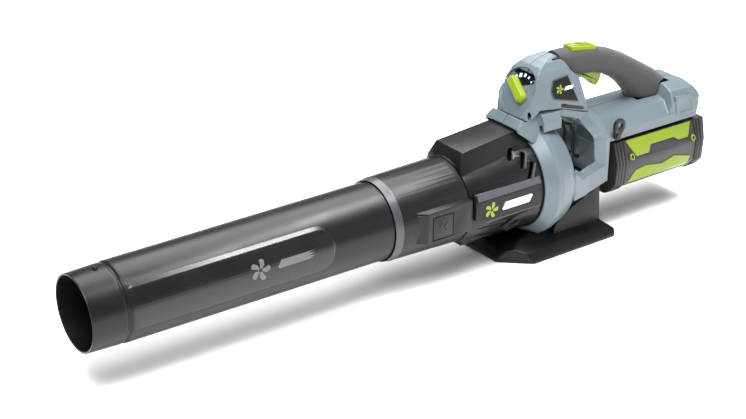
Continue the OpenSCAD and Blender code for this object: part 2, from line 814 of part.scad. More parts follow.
head_plan = [
    [face_low[0] + 1, -22], [face_low[0] + 16, -36], [face_low[0] + 110, -36],
    [face_low[0] + 110, 36], [face_low[0] + 16, 36], [face_low[0] + 1, 22], [face_low[0] - 1, 0]
];

module head_solid() {
    intersection() {
        across(head_outline, -40, 40);
        along(both_sides(head_half), face_low[0] - 1, face_low[0] + 106);
        upward(head_plan, 70, 160);
    }
}

// Room under the head in the body shells
module head_clearance() {
    across([
        [face_low[0] + 6.4, 84.8], [face_low[0] + 24, 97], [face_low[0] + 59, 92.5],
        [face_low[0] + 91, 82], [face_low[0] + 106, 77.5], [face_low[0] + 106, 110],
        [face_low[0] + 24, 110]
    ], -36, 36);
}

window_side = [
    [face_low[0] + 47, 131], [face_low[0] + 72, 133], [face_low[0] + 88, 96],
    [face_low[0] + 47, 107], [face_low[0] + 43, 117]
];

module head_solid_with_openings() {
    difference() {
        head_solid();
        intersection() {
            across(head_inside, -40, 40);
            along(both_sides(head_half_in), face_low[0] + 2, face_low[0] + 104);
        }
        // recess round the dial, flush with the face at its foot
        on_face() cylinder(r = dial_recess_r, h = 30, $fn = round_fn);
        on_face() translate([0, 0, -20]) cylinder(r = 5.2, h = 30, $fn = round_fn);
        scale_window_solid(seat_gap);
        // seats of the side badges and vents
        across(window_side, -40, -26.6);
        across(window_side, 26.6, 40);
        vent_solid(seat_gap);
        handle_envelope(0.3);
    }
}

module head_shell_left() {
    color("#8f999e") half_space(-1) head_solid_with_openings();
}

module head_shell_right() {
    color("#8f999e") half_space(1) head_solid_with_openings();
}

module badge_window(side) {
    intersection() {
        across([for (p = window_side) [p[0] * 0.98 + (face_low[0] + 62) * 0.02, p[1] * 0.98 + 116 * 0.02]],
               side < 0 ? -40 : 26.7, side < 0 ? -26.7 : 40);
        along(both_sides([for (p = head_half) [p[0] + 0.5, p[1] - 0.3]]),
              face_low[0] - 1, face_low[0] + 104);
    }
}

module badge_window_left() {
    color("#151516") badge_window(-1);
}

module badge_window_right() {
    color("#151516") badge_window(1);
}

module vent_solid(grow) {
    for (side = [-1, 1]) scale([1, -side, 1])
        across([
            [face_low[0] + 60 - grow, 98.5 + grow], [face_low[0] + 97 + grow, 86.5 + grow],
            [face_low[0] + 96 + grow, 83.5 - grow], [face_low[0] + 59 - grow, 95 - grow]
        ], -33.4 - grow * 80, -30.6 + grow);
}

module vent_grilles() {
    color("#1b1b1c") vent_solid(0);
}

// Sector of the speed scale above the dial
module scale_window_solid(grow) {
    on_face() translate([0, 0, -1.2 - grow]) linear_extrude(1.6 + grow)
        polygon([
            [6 - grow, 0], for (a = [-52:8:52]) [(23.4 + grow) * cos(a), (23.4 + grow) * sin(a)]
        ]);
}

module scale_window() {
    color("#151516") difference() {
        scale_window_solid(0);
        on_face() translate([0, 0, -5]) cylinder(r = 7, h = 10, $fn = round_fn);
    }
    // marks that grow from low to high
    color("#f0f0f0") for (i = [0:4])
        on_face() rotate([0, 0, 44 - 22 * i]) translate([20 - i, -0.7, 0.4]) cube([1.6 + i, 1.4, 0.3]);
}

module speed_dial() {
    color("#a9d31f") on_face() {
        rotate([0, 0, dial_rest]) {
            translate([0, 0, 1]) linear_extrude(7.4) hull() {
                for (s = [-1, 1]) translate([s * (dial_len - dial_w) / 2, 0]) circle(d = dial_w, $fn = soft_fn);
            }
            translate([0, 0, 8.4]) linear_extrude(1.4) hull() {
                for (s = [-1, 1])
                    translate([s * (dial_len - dial_w) / 2, 0]) circle(d = dial_w - 3, $fn = soft_fn);
            }
        }
        translate([0, 0, -4]) cylinder(r = 4.6, h = 5.5, $fn = round_fn);
        translate([0, 0, -12]) cylinder(r = 3, h = 9, $fn = round_fn);
    }
}

module dial_potentiometer() {
    color("#2d5c8a") on_face() difference() {
        union() {
            translate([0, 0, -15]) cylinder(r = 8.5, h = 8, $fn = round_fn);
            translate([-10, -8, -9]) cube([18, 16, 3.4]);
        }
        translate([0, 0, -12.5]) cylinder(r = 3 + pin_gap, h = 10, $fn = round_fn);
    }
}

module control_board() {
    x0 = face_low[0] + 30;
    color("#1f6b3a") difference() {
        block([x0, -26, 99.5], [x0 + 52, 26, 101.5]);
        block([x0 + 44, -4, 95], [x0 + 53, 4, 105]);
    }
    color("#a8abae") for (i = [0:4])
        block([x0 + 4 + i * 8, -22, 101.5], [x0 + 8 + i * 8, 22, 112]);
    color("#202022") for (y = [-15, 3])
        block([x0 + 6, y, 97], [x0 + 20, y + 12, 99.5]);
    // feet down to the deck of the body
    color("#1f6b3a") for (y = [-20, 20])
        block([x0 + 30, y - 2, 92.3], [x0 + 34, y + 2, 99.5]);
}

// ---- handle --------------------------------------------------------------------------

// Stations along the grip: x, z, half thickness, half width
grip_stations = [
    [face_low[0] + 55, 141, 14, 13], [face_low[0] + 70, 140, 16.5, 15.5], [face_low[0] + 92, 138.5, 17.5, 17],
    [face_low[0] + 115, 136, 17.5, 17], [face_low[0] + 137, 132.2, 17, 17], [face_low[0] + 158, 126, 17, 17],
    [face_low[0] + 177, 117, 17.6, 17], [face_low[0] + 195, 105.5, 19, 17], [face_low[0] + 211, 93, 22, 17],
    [face_low[0] + 226, 80, 26, 17.4], [face_low[0] + 238, 66, 31, 18], [face_low[0] + 244, 58, 33, 18]
];

function grip_heading(i) =
    let (a = grip_stations[max(i - 1, 0)])
    let (b = grip_stations[min(i + 1, len(grip_stations) - 1)])
    unit([b[0] - a[0], b[1] - a[1]]);

// Rounded-rectangle ring of points at one station, shrunk by inset
function grip_ring(i, inset, sides = 24) =
    let (s = grip_stations[i])
    let (t = grip_heading(i))
    [for (k = [0:sides - 1])
        let (c = cos(360 * k / sides))
        let (d = sin(360 * k / sides))
        let (across_y = -(s[3] * grip_half_w / 17 - inset) * sign(c) * pow(abs(c), 0.8))
        let (up = (s[2] - inset) * sign(d) * pow(abs(d), 0.8))
        [s[0] - t[1] * up, across_y, s[1] + t[0] * up + axis_h]];

module grip_volume(inset, skip_first = 0, skip_last = 0) {
    swept([for (i = [skip_first:len(grip_stations) - 1 - skip_last]) grip_ring(i, inset)]);
}

// Side outline of the handle, shrunk by inset
function grip_side(inset) =
    let (last = len(grip_stations) - 1)
    let (edge = function(i, way)
        let (s = grip_stations[i])
        let (t = grip_heading(i))
        [s[0] - way * t[1] * (s[2] - inset), s[1] + way * t[0] * (s[2] - inset)])
    concat([for (i = [0:last]) edge(i, 1)], [for (i = [last:-1:0]) edge(i, -1)]);

// Space that the handle frame takes through the head, the deck and the block
module handle_envelope(gap) {
    envelope_w = grip_half_w + 1.1 - grip_skin + gap;
    across(grip_side(grip_skin - gap), -envelope_w, envelope_w);
}

trigger_pivot = [face_low[0] + 108, 125.5];
trigger_half_w = 7;
slot_half_w = trigger_half_w + 0.8;
slot_x = [face_low[0] + 99, face_low[0] + 156];
turbo_x = [face_low[0] + 94, face_low[0] + 136];
turbo_half_w = 9;
turbo_top = 157.5;
turbo_tilt = 9;

module turbo_frame() {
    on_axis() translate([turbo_x[0], 0, turbo_top - 4]) rotate([0, turbo_tilt, 0]) children();
}

module handle_slots(extra) {
    // slot for the trigger
    block([slot_x[0] - extra, -slot_half_w - extra, 90], [slot_x[1] + extra, slot_half_w + extra, 128]);
    // well for the turbo button
    turbo_frame() translate([-0.4 - extra, -turbo_half_w - 0.4 - extra, -8])
        cube([42.8 + 2 * extra, 2 * turbo_half_w + 0.8 + 2 * extra, 22]);
}

module handle_core() {
    color("#3a3a3c") difference() {
        grip_volume(grip_skin + 0.1);
        grip_volume(grip_skin + 3, 1, 2);
        handle_slots(0);
        rod_y(trigger_pivot, 2.05, -10.5, 10.5);
    }
}

module grip_overmould() {
    color("#4a494b") difference() {
        grip_volume(0, 1);
        grip_volume(grip_skin);
        handle_slots(0.4);
        rod_y(trigger_pivot, 2.1, -10.6, 10.6);
        // front end stops at the head, rear end at the block and the deck
        across([
            [face_low[0], 78], [face_low[0], 170], [face_low[0] + 62.2, 170],
            [face_low[0] + 62.2, 157.2], [face_low[0] + 73.4, 148.3], [face_low[0] + 78.4, 138.4],
            [face_low[0] + 91.4, 126], [face_low[0] + 102.4, 90], [face_low[0] + 105.4, 78]
        ], -40, 40);
        along([[-60, 20], [-47.4, 47], [-31.2, 62.4], [-12, deck_z - 1.6], [12, deck_z - 1.6],
               [31.2, 62.4], [47.4, 47], [60, 20]], face_low[0] + 150, block_front + 13);
        across([
            [block_front - 0.4, 20], [block_front - 0.4, 46.2], [block_front + 11.6, 81.4],
            [block_rear + 60, 81.4], [block_rear + 60, 20]
        ], -40, 40);
    }
}

// Outline counted from the pivot
trigger_outline = [
    [-4, 2], [6, 0], [42, -8.5], [41, -16], [37, -25], [33, -28.5], [28, -26], [19, -17.5],
    [8, -12], [-5, -9]
];

module trigger() {
    color("#9fc925") difference() {
        union() {
            across([for (p = trigger_outline) trigger_pivot + p], -trigger_half_w, trigger_half_w);
            rod_y(trigger_pivot, 4.5, -trigger_half_w, trigger_half_w);
        }
        rod_y(trigger_pivot, 2 + pin_gap, -20, 20);
    }
}

module trigger_pin() {
    color("#c9ccd0") rod_y(trigger_pivot, 2, -10.4, 10.4);
}

switch_x = [trigger_pivot[0] + 14, trigger_pivot[0] + 42];

module trigger_switch() {
    color("#262628") {
        block([switch_x[0], -9, 128.5], [switch_x[1], 9, 133.5]);
        block([switch_x[0] + 4, -10.2, 131], [switch_x[0] + 10, 10.2, 133]);
    }
}

module trigger_spring() {
    color("#c9ccd0") on_axis() translate([trigger_pivot[0] + 30, 0, 128.5]) mirror([0, 0, 1])
        coil_spring(3, 0.5, 3, 2);
}

module turbo_button() {
    color("#b4dc28") turbo_frame() {
        difference() {
            union() {
                translate([0, -turbo_half_w, -1]) cube([42, 2 * turbo_half_w, 7]);
                translate([3, -turbo_half_w + 2.4, 5.9]) cube([36, 2 * turbo_half_w - 4.8, 1.1]);
                translate([18, -3, -3]) cube([6, 6, 3]);
            }
            // three shallow finger grooves
            for (i = [0:2])
                translate([13 + i * 8, -turbo_half_w + 4, 6.4]) cube([2, 2 * turbo_half_w - 8, 2]);
        }
    }
}

module turbo_switch() {
    color("#262628") turbo_frame() {
        translate([10, -8, -10]) cube([22, 16, 3.6]);
        translate([14, -9.7, -10]) cube([6, 19.4, 1.8]);
        translate([5, -6, -12.6]) cube([32, 12, 2.6]);
    }
}

module turbo_spring() {
    color("#c9ccd0") turbo_frame() for (x = [13, 29]) translate([x, 0, -6.4])
        coil_spring(2.2, 0.4, 2.2, 2);
}

// ---- strap eyelet --------------------------------------------------------------------

eyelet_at = [column_x + 26, 55];
eyelet_screw_at = [column_x + 23.5, 41];
eyelet_y = [-51.5, -47.4];
eyelet_hole_r = 4;

module strap_eyelet() {
    color("#1c1c1d") difference() {
        union() {
            rod_y(eyelet_at, 9.5, eyelet_y[0], eyelet_y[1]);
            rod_y(eyelet_screw_at, 5.2, eyelet_y[0], eyelet_y[1]);
            across([
                [eyelet_at[0] - 8.6, eyelet_at[1] - 4], [eyelet_at[0] + 7.4, eyelet_at[1] - 6],
                [eyelet_screw_at[0] + 5, eyelet_screw_at[1] + 1],
                [eyelet_screw_at[0] - 5, eyelet_screw_at[1] + 1]
            ], eyelet_y[0], eyelet_y[1]);
            // root that reaches the bridge wall
            rod_y(eyelet_screw_at, 3.4, eyelet_y[1] - 0.1, -47);
        }
        rod_y(eyelet_at, eyelet_hole_r, -60, -40);
        rod_y(eyelet_screw_at, 1.8, -60, -30);
    }
}

module eyelet_screw() {
    color("#5a5c60") {
        rod_y(eyelet_screw_at, 1.6, eyelet_y[0] - 0.1, -40);
        difference() {
            rod_y(eyelet_screw_at, 3.4, eyelet_y[0] - 2, eyelet_y[0] - 0.05);
            rod_y(eyelet_screw_at, 1.5, eyelet_y[0] - 3, eyelet_y[0] - 0.9);
        }
    }
}

// ---- foot ----------------------------------------------------------------------------

floor_z = -axis_h;
foot_screw_at = [[ring_x + 30, -34], [ring_x + 30, 34], [column_x - 6, -40], [column_x - 6, 40]];

module foot_screw_hole(at) {
    on_axis() translate([at[0], at[1], floor_z]) cylinder(r = 1.6, h = 90, $fn = round_fn);
}

module foot_base(inset) {
    intersection() {
        across([
            [foot_front + inset, floor_z], [foot_front + inset, floor_z + 5],
            [foot_front + 9 + inset, floor_z + 15 - inset], [foot_front + 34, floor_z + 24 - inset],
            [ring_x, floor_z + 26 - inset], [column_x, floor_z + 24 - inset],
            [column_x + 5, floor_z + 17 - inset], [foot_rear - inset, floor_z + 7],
            [foot_rear - inset, floor_z]
        ], -100, 100);
        along(both_sides([
            [-foot_half_w + inset, floor_z], [-foot_half_w + inset, floor_z + 4],
            [-foot_half_w + 7 + inset, floor_z + 13 - inset], [-foot_half_w + 24, floor_z + 20 - inset],
            [-38, floor_z + 27 - inset]
        ]), foot_front - 1, foot_rear + 1);
        upward([
            [foot_front + inset, -36], [foot_front + 37, -foot_half_w + inset],
            [foot_rear - 6, -foot_half_w + inset], [foot_rear - inset, -foot_half_w + 8],
            [foot_rear - inset, foot_half_w - 8], [foot_rear - 6, foot_half_w - inset],
            [foot_front + 37, foot_half_w - inset], [foot_front + inset, 36]
        ], floor_z, 0);
    }
}

module foot_post(inset) {
    across([
        [ring_x + 22, floor_z + 12], [ring_x + 22, -62 - inset], [ring_x + 40, -45 - inset],
        [column_x - 14, -26 - inset], [column_x - 14, -8.4 - inset], [column_x - 5.2, -8.4 - inset],
        [column_x - 5.2, -12.6 - inset], [column_x + 1 - inset, -12.6 - inset], [column_x + 3 - inset, -60],
        [column_x + 5 - inset, floor_z + 12]
    ], -47 + inset, 47 - inset);
}

module foot() {
    color("#262627") difference() {
        union() {
            foot_base(0);
            foot_post(0);
        }
        difference() {
            translate([0, 0, -0.01]) foot_base(wall + 0.5);
            // ribs across the inside
            for (x = [foot_front + 45, -1.5, column_x - 24])
                block([x, -80, floor_z], [x + 3, 80, 0]);
            for (at = foot_screw_at)
                on_axis() translate([at[0], at[1], floor_z + 6]) cylinder(r = 5, h = 60, $fn = round_fn);
        }
        // hollow post, open below
        difference() {
            block([ring_x + 44, -43.5, floor_z - 1], [column_x - 18.5, 43.5, -50]);
            block([column_x - 24, -80, floor_z], [column_x - 21, 80, 0]);
        }
        // cradle for the ring and the fan housing
        turned([[0, foot_front - 1], [duct_rear_r + 0.5, foot_front - 1], [duct_rear_r + 0.5, ring_lip_x - 0.6],
                [67.2, ring_lip_x - 0.4], [ring_r + 0.3, ring_x - 0.2], [ring_r + 0.3, ring_x + 10],
                [ring_rear_r + 4.4, ring_x + 24], [ring_rear_r + 0.3, ring_rear_x + 0.6],
                [0, ring_rear_x + 0.6]]);
        // clears the arms of the body
        intersection() {
            across([for (p = frame_outline) [p[0] + (p[0] > column_x - 8 ? 0.3 : 0), p[1] - 0.3]], -90, 90);
            difference() {
                upward(taper(-1), -100, 100);
                upward(taper(4.2), -101, 101);
            }
        }
        for (at = foot_screw_at) {
            foot_screw_hole(at);
            on_axis() translate([at[0], at[1], floor_z - 1]) cylinder(r = 3.6, h = 9, $fn = round_fn);
        }
    }
}

module foot_screws() {
    color("#8d9094") for (at = foot_screw_at)
        on_axis() translate([at[0], at[1], floor_z + 5]) {
            cylinder(r = 3.2, h = 2.95, $fn = round_fn);
            cylinder(r = 1.5, h = 30, $fn = round_fn);
        }
}

// ---- battery bay ---------------------------------------------------------------------

rail_y = [25, 33];
rail_foot_y = 37;
rail_z = [23.5, 26.5];
rail_rear = block_rear - 12;

module terminal_block() {
    color("#222224") {
        block([column_x + 0.05, -46, -10.9], [column_x + 6, 46, 32]);
        difference() {
            block([column_x + 5.9, -20, -12], [column_x + 18, 20, 14]);
            block([column_x + 9, -17, -9], [column_x + 19, 17, 11]);
        }
    }
    color("#c9a227") for (y = [-12, -4, 4, 12])
        block([column_x + 8.9, y - 0.6, -6], [column_x + 30, y + 0.6, 8]);
}

module battery_rails() {
    color("#2a2a2c") for (side = [-1, 1]) scale([1, side, 1])
        along([[rail_y[0], 33.45], [rail_y[1], 33.45], [rail_y[1], rail_z[1]], [rail_foot_y, rail_z[1]],
               [rail_foot_y, rail_z[0]], [rail_y[0], rail_z[0]]], column_x + 6.1, rail_rear);
}

// Lever latch: the nose holds the pack, the rear tab is pressed down to free it
latch_nose_x = latch_pivot[0] - 20;

module battery_latch() {
    color("#2e2e30") difference() {
        union() {
            across([
                [latch_nose_x, 28], [latch_nose_x + 5, 28], [latch_nose_x + 9, 36],
                [latch_pivot[0] - 4, 53], [latch_pivot[0] + 6, 53], [block_rear - 1.5, 57],
                [block_rear - 1.5, 64], [block_rear - 5, 64], [latch_pivot[0] + 4, 62],
                [latch_pivot[0] - 5, 62], [latch_nose_x, 40]
            ], -latch_half_w, latch_half_w);
            rod_y(latch_pivot, 5, -latch_half_w, latch_half_w);
        }
        rod_y(latch_pivot, 2 + pin_gap, -20, 20);
    }
}

module battery_latch_pin() {
    color("#c9ccd0") rod_y(latch_pivot, 2, -latch_half_w - 4.8, latch_half_w + 4.8);
}

module battery_latch_spring() {
    color("#c9ccd0") on_axis() translate([block_rear - 13, 0, 36.6]) coil_spring(3.2, 0.5, 13, 5);
}

// Ports that the cables pass through: power cables in the deck, motor cables in the collar
power_port_x = face_low[0] + 62;
power_y = [-8, 8];
motor_port_x = face_low[0] + 19;
contact_z = 6;

module cable_ports() {
    for (y = power_y) {
        on_axis() translate([power_port_x, y, 66]) cylinder(r = 2.6, h = 32, $fn = round_fn);
        on_axis() translate([column_x - 8, y, contact_z]) rotate([0, 90, 0])
            cylinder(r = 2.3, h = 10, $fn = round_fn);
    }
    on_axis() translate([motor_port_x, 0, 80]) cylinder(r = 9, h = 20, $fn = round_fn);
}

module power_cables() {
    color("#c0392b") on_axis() for (y = power_y)
        cable([
            [column_x, y, contact_z], [column_x - 6, y, contact_z], [column_x - 12, y, contact_z + 4],
            [column_x - 14, y, 20], [column_x - 15, y, 40], [column_x - 20, y, 54],
            [column_x - 34, y, 60], [power_port_x + 8, y, 63], [power_port_x + 1, y, 69],
            [power_port_x, y, 78], [power_port_x, y, 99.4]
        ], 2);
    color("#f2c200") on_axis() for (y = [-5, 0, 5])
        cable([
            [motor_port_x + 17, y, 98.75], [motor_port_x + 11, y, 98.6], [motor_port_x + 6, y, 98.2],
            [motor_port_x + 2, y, 96.5], [motor_port_x + 1, y, 92], [motor_port_x + 1, y, 79],
            [motor_port_x + 0.2, y, 74.4], [motor_port_x - 3, y, 72.4], [motor_port_x - 10, y, 71],
            [motor_port_x - 30, y, 69], [vanes_front + 24, y * 0.6, 64], [vanes_front + 16, y * 0.4, 59],
            [vanes_front + 14, y * 0.3, 52], [vanes_front + 14, y * 0.3, 22]
        ], 0.7, 6);
}

// ---- battery pack --------------------------------------------------------------------

// Half outline of the pack across its width, given for y <= 0
function pack_half(inset) = [
    [-33, -pack_drop + inset], [-44 + inset * 0.5, -38 + inset * 0.7],
    [-pack_half_w + 2 + inset, -26], [-pack_half_w + inset, 2], [-46 + inset * 0.8, 30 - inset]
];

cell_r = 9;
cell_len = 65;
cell_rows = [-21.5, -2.2];
cells_front = pack_front + 16;

module pack_grooves() {
    for (side = [-1, 1]) scale([1, side, 1]) {
        along([[rail_y[0] - 0.8, 31], [rail_y[1] + 0.8, 31], [rail_y[1] + 0.8, rail_z[1] + 0.8],
               [rail_foot_y + 0.8, rail_z[1] + 0.8], [rail_foot_y + 0.8, rail_z[0] - 0.8],
               [rail_y[0] - 0.8, rail_z[0] - 0.8]], pack_front - 1, rail_rear + 1);
    }
    // catch channel for the latch nose, open to the front
    block([pack_front - 1, -latch_half_w - 1, 26.5], [latch_nose_x + 6.5, latch_half_w + 1, 31]);
}

module pack_case() {
    color("#4c484a") difference() {
        along(both_sides(pack_half(1.6)), pack_front + cap_len, pack_rear - cap_len);
        difference() {
            along(both_sides(pack_half(4)), pack_front + cap_len - 1, pack_rear - cap_len + 1);
            // groove floors
            block([pack_front, -42, 20.2], [pack_rear, 42, 40]);
        }
        pack_grooves();
        panel_upper(seat_gap);
        panel_lower(seat_gap);
        mirrored_y() panel_upper(seat_gap);
        mirrored_y() panel_lower(seat_gap);
    }
}

module pack_front_cap() {
    color("#403d3f") difference() {
        along(both_sides(pack_half(0)), pack_front, pack_front + cap_len - seat_gap);
        difference() {
            along(both_sides(pack_half(4)), pack_front + 4, pack_front + cap_len);
            block([pack_front, -42, 20.2], [pack_rear, 42, 40]);
        }
        pack_grooves();
        // socket for the machine's contact blades
        block([pack_front - 1, -21, -13], [pack_front + 2, 21, 15]);
        for (y = [-12, -4, 4, 12])
            block([pack_front - 1, y - 1.2, -7.5], [pack_front + 5, y + 1.2, 9.5]);
        // chamfered front rim
    }
}

module pack_rear_cap() {
    color("#403d3f") difference() {
        intersection() {
            along(both_sides(pack_half(0)), pack_rear - cap_len + seat_gap, pack_rear);
            across([[pack_rear - cap_len, -60], [pack_rear - 5, -60], [pack_rear, -32], [pack_rear, 26],
                    [pack_rear - 3, 40], [pack_rear - cap_len, 40]], -60, 60);
            upward([[pack_rear - cap_len, -60], [pack_rear - 6, -60], [pack_rear, -46], [pack_rear, 46],
                    [pack_rear - 6, 60], [pack_rear - cap_len, 60]], -60, 60);
        }
        along(both_sides(pack_half(4)), pack_rear - cap_len - 1, pack_rear - 4);
    }
}

panel_x = [pack_front + cap_len + 3, pack_rear - cap_len - 16];

module panel_upper(grow) {
    intersection() {
        across([
            [panel_x[0] - grow, 28 + grow], [panel_x[1] + 10 + grow, 28 + grow], [panel_x[1] + 2, 10 - grow],
            [panel_x[1] - 16, 10 - grow], [panel_x[1] - 24, 15 - grow], [panel_x[0] + 42, 15 - grow],
            [panel_x[0] + 36, 6 - grow], [panel_x[0] + 14, 6 - grow]
        ], -pack_half_w, -40);
        difference() {
            along(both_sides(pack_half(0.5)), panel_x[0] - 2, panel_x[1] + 14);
            along(both_sides(pack_half(3 + grow)), panel_x[0] - 3, panel_x[1] + 15);
        }
    }
}

module panel_lower(grow) {
    intersection() {
        across([
            [panel_x[0] - grow, -31 - grow], [panel_x[0] + 14, -14 + grow], [panel_x[0] + 32, -11 + grow],
            [panel_x[0] + 62, -16 + grow], [panel_x[0] + 84, -10 + grow], [panel_x[1] + 8 + grow, -18 + grow],
            [panel_x[1] + 2 + grow, -31 - grow]
        ], -pack_half_w, -30);
        difference() {
            along(both_sides(pack_half(0.5)), panel_x[0] - 2, panel_x[1] + 14);
            along(both_sides(pack_half(3 + grow)), panel_x[0] - 3, panel_x[1] + 15);
        }
    }
}

module pack_panels_upper() {
    color("#a9d31f") {
        panel_upper(0);
        mirrored_y() panel_upper(0);
    }
}

module pack_panels_lower() {
    color("#a9d31f") {
        panel_lower(0);
        mirrored_y() panel_lower(0);
    }
}

stud_at = [[pack_front + 26, 7], [pack_rear - 25, 7]];

module pack_studs() {
    color("#8fb51c") for (side = [-1, 1]) for (at = stud_at)
        scale([1, side, 1]) on_axis() translate([at[0], pack_half_w - 3.3, at[1]]) rotate([-71, 0, 0])
            cylinder(r = 4.2, h = 3.6, $fn = round_fn);
}

module pack_cells() {
    color("#2f7fb5") for (row = cell_rows) for (i = [0:6])
        on_axis() translate([cells_front + 9.4 + i * 19, cell_len / 2, row]) rotate([90, 0, 0])
            cylinder(r = cell_r, h = cell_len, $fn = round_fn);
}

module pack_cell_frames() {
    color("#d8d8d4") for (side = [-1, 1]) scale([1, side, 1])
        block([cells_front - 2, cell_len / 2 + 0.05, -31], [cells_front + 136, cell_len / 2 + 3, 8]);
    color("#1f6b3a") block([cells_front, -30, 12], [cells_front + 120, 30, 13.6]);
    color("#d8d8d4") for (x = [cells_front + 4, cells_front + 110]) for (y = [-28, 22])
        block([x, y, 7.2], [x + 6, y + 6, 11.95]);
}

module pack_contacts() {
    color("#c9a227") for (y = [-12, -4, 4, 12])
        for (s = [-1, 1])
            block([pack_front + 5.1, y + s * 1.5 - 0.4, -6], [pack_front + 14, y + s * 1.5 + 0.4, 8]);
    color("#202022") block([pack_front + 11, -18, -8], [pack_front + 15.9, 18, 10]);
}

module body_screws() {
    color("#5a5c60") for (at = body_screw_at) rod_y(at, 2.4, 43.1, 45.9);
}

blower_tube();
tube_coupler();
tube_seal();
tube_latch_left();
tube_latch_right();
latch_pins();
latch_springs();
fan_housing();
badge_plate_left();
badge_plate_right();
flow_liner();
stator_vanes();
nose_cone();
motor_stator();
motor_bearings();
motor_rotor();
motor_shaft();
impeller();
impeller_nut();
inlet_bell();
body_shell_left();
body_shell_right();
head_shell_left();
head_shell_right();
badge_window_left();
badge_window_right();
vent_grilles();
scale_window();
speed_dial();
dial_potentiometer();
control_board();
handle_core();
grip_overmould();
trigger();
trigger_pin();
trigger_switch();
trigger_spring();
turbo_button();
turbo_switch();
turbo_spring();
strap_eyelet();
eyelet_screw();
foot();
foot_screws();
terminal_block();
battery_rails();
battery_latch();
battery_latch_pin();
battery_latch_spring();
power_cables();
pack_case();
pack_front_cap();
pack_rear_cap();
pack_panels_upper();
pack_panels_lower();
pack_studs();
pack_cells();
pack_cell_frames();
pack_contacts();
body_screws();
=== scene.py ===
"""Hand-held battery leaf blower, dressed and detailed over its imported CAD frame."""

import json
import logging
import math
from dataclasses import dataclass, field
from enum import Enum
from typing import Iterable, Optional, Sequence

import bmesh
import bpy
from mathutils import Matrix, Vector
from mathutils.bvhtree import BVHTree


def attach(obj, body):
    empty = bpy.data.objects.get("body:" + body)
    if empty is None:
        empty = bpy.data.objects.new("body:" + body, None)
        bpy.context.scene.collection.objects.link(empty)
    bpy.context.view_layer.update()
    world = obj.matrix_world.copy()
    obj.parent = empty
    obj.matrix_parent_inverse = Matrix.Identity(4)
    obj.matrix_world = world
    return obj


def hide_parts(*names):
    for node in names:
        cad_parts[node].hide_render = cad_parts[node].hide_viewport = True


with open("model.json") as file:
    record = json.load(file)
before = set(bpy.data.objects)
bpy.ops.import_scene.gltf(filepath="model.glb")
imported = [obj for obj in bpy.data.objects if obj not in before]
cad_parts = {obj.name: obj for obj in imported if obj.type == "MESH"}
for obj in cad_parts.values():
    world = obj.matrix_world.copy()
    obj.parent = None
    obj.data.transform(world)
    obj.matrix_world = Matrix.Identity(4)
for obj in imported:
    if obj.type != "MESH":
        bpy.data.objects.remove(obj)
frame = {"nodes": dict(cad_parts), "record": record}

log = logging.getLogger("leaf_blower")

Point = tuple[float, float, float]
Flat = tuple[float, float]

MM = 0.001
# Height of the fan axis over the floor, in millimetres and in metres
AXIS_MM = 90.0
FAN_AXIS_Z = AXIS_MM * MM
# Turns in degrees: what counts as an edge to round, and where smooth shading stops on new and on CAD pieces
EDGE_ANGLE = 26.0
CREASE = 38.0
CAD_CREASE = 30.0
# Corners closer than this are one, and narrower roundings are left out, in metres
WELD = 2e-6
LEAST_ROOM = 0.00006
# A neighbour limits a rounding if it leaves an edge at more than this sine, and gives this share
# of its length
SIDE_SINE = 0.35
ROOM_SHARE = 0.44
# Rounding is tried this often. Points farther off the old surface than STRAY are taken back, edges
# nearer to them than BARRED_WITHIN stay sharp, and spots closer than SPOT_APART count as one. All
# three are shares of the radius
ROUNDING_TRIES = 7
STRAY = 0.62
BARRED_WITHIN = 2.2
SPOT_APART = 0.4
# Share of a recast skin's faces that is kept
CAST_KEEP = 0.6


# ---- colour and nodes ----------------------------------------------------------------


def linear(code: str) -> tuple[float, float, float, float]:
    """Turns an sRGB hex colour to linear light.

    Args:
        code: colour such as "#8b969c".

    Returns:
        Red, green, blue and an alpha of 1.
    """
    parts = [int(code[i:i + 2], 16) / 255 for i in (1, 3, 5)]
    lit = [c / 12.92 if c <= 0.04045 else ((c + 0.055) / 1.055) ** 2.4 for c in parts]
    return (lit[0], lit[1], lit[2], 1.0)


def feed(tree: bpy.types.NodeTree, node: bpy.types.Node, values: Optional[dict] = None,
         links: Optional[dict] = None) -> None:
    """Sets and links a node's inputs.

    Args:
        tree: node tree that holds the node.
        node: node to feed.
        values: socket name or index to its value.
        links: input name or index to the output that feeds it.
    """
    for socket, value in (values or {}).items():
        node.inputs[socket].default_value = value
    for socket, source in (links or {}).items():
        tree.links.new(source, node.inputs[socket])


def add_node(tree: bpy.types.NodeTree, kind: str, values: Optional[dict] = None,
             links: Optional[dict] = None, **props: object) -> bpy.types.Node:
    """Adds one node with its settings and links.

    Args:
        tree: node tree that gets the node.
        kind: node type.
        values: socket name or index to its value.
        links: input name or index to the output that feeds it.
        props: the node's own properties.

    Returns:
        The new node.
    """
    node = tree.nodes.new(kind)
    for name, value in props.items():
        setattr(node, name, value)
    feed(tree, node, values, links)
    return node


def spread(tree: bpy.types.NodeTree, source: bpy.types.NodeSocket, seen: tuple[float, float],
           wanted: tuple[float, float]) -> bpy.types.NodeSocket:
    """Maps one span of values to another.

    Args:
        tree: node tree to add to.
        source: output with the values.
        seen: span that comes in.
        wanted: span that goes out.

    Returns:
        The output with the mapped values.
    """
    ends = {"From Min": seen[0], "From Max": seen[1], "To Min": wanted[0], "To Max": wanted[1]}
    return add_node(tree, "ShaderNodeMapRange", ends, {"Value": source}).outputs[0]


def tinted(tree: bpy.types.NodeTree, colour: str, by: bpy.types.NodeSocket) -> bpy.types.NodeSocket:
    """Multiplies a colour by a value.

    Args:
        tree: node tree to add to.
        colour: sRGB hex colour.
        by: output with the values.

    Returns:
        The output with the colour.
    """
    mix = add_node(tree, "ShaderNodeMix", {"Factor": 1.0, "A": linear(colour)}, {"B": by},
                   data_type="RGBA", blend_type="MULTIPLY")
    return mix.outputs["Result"]


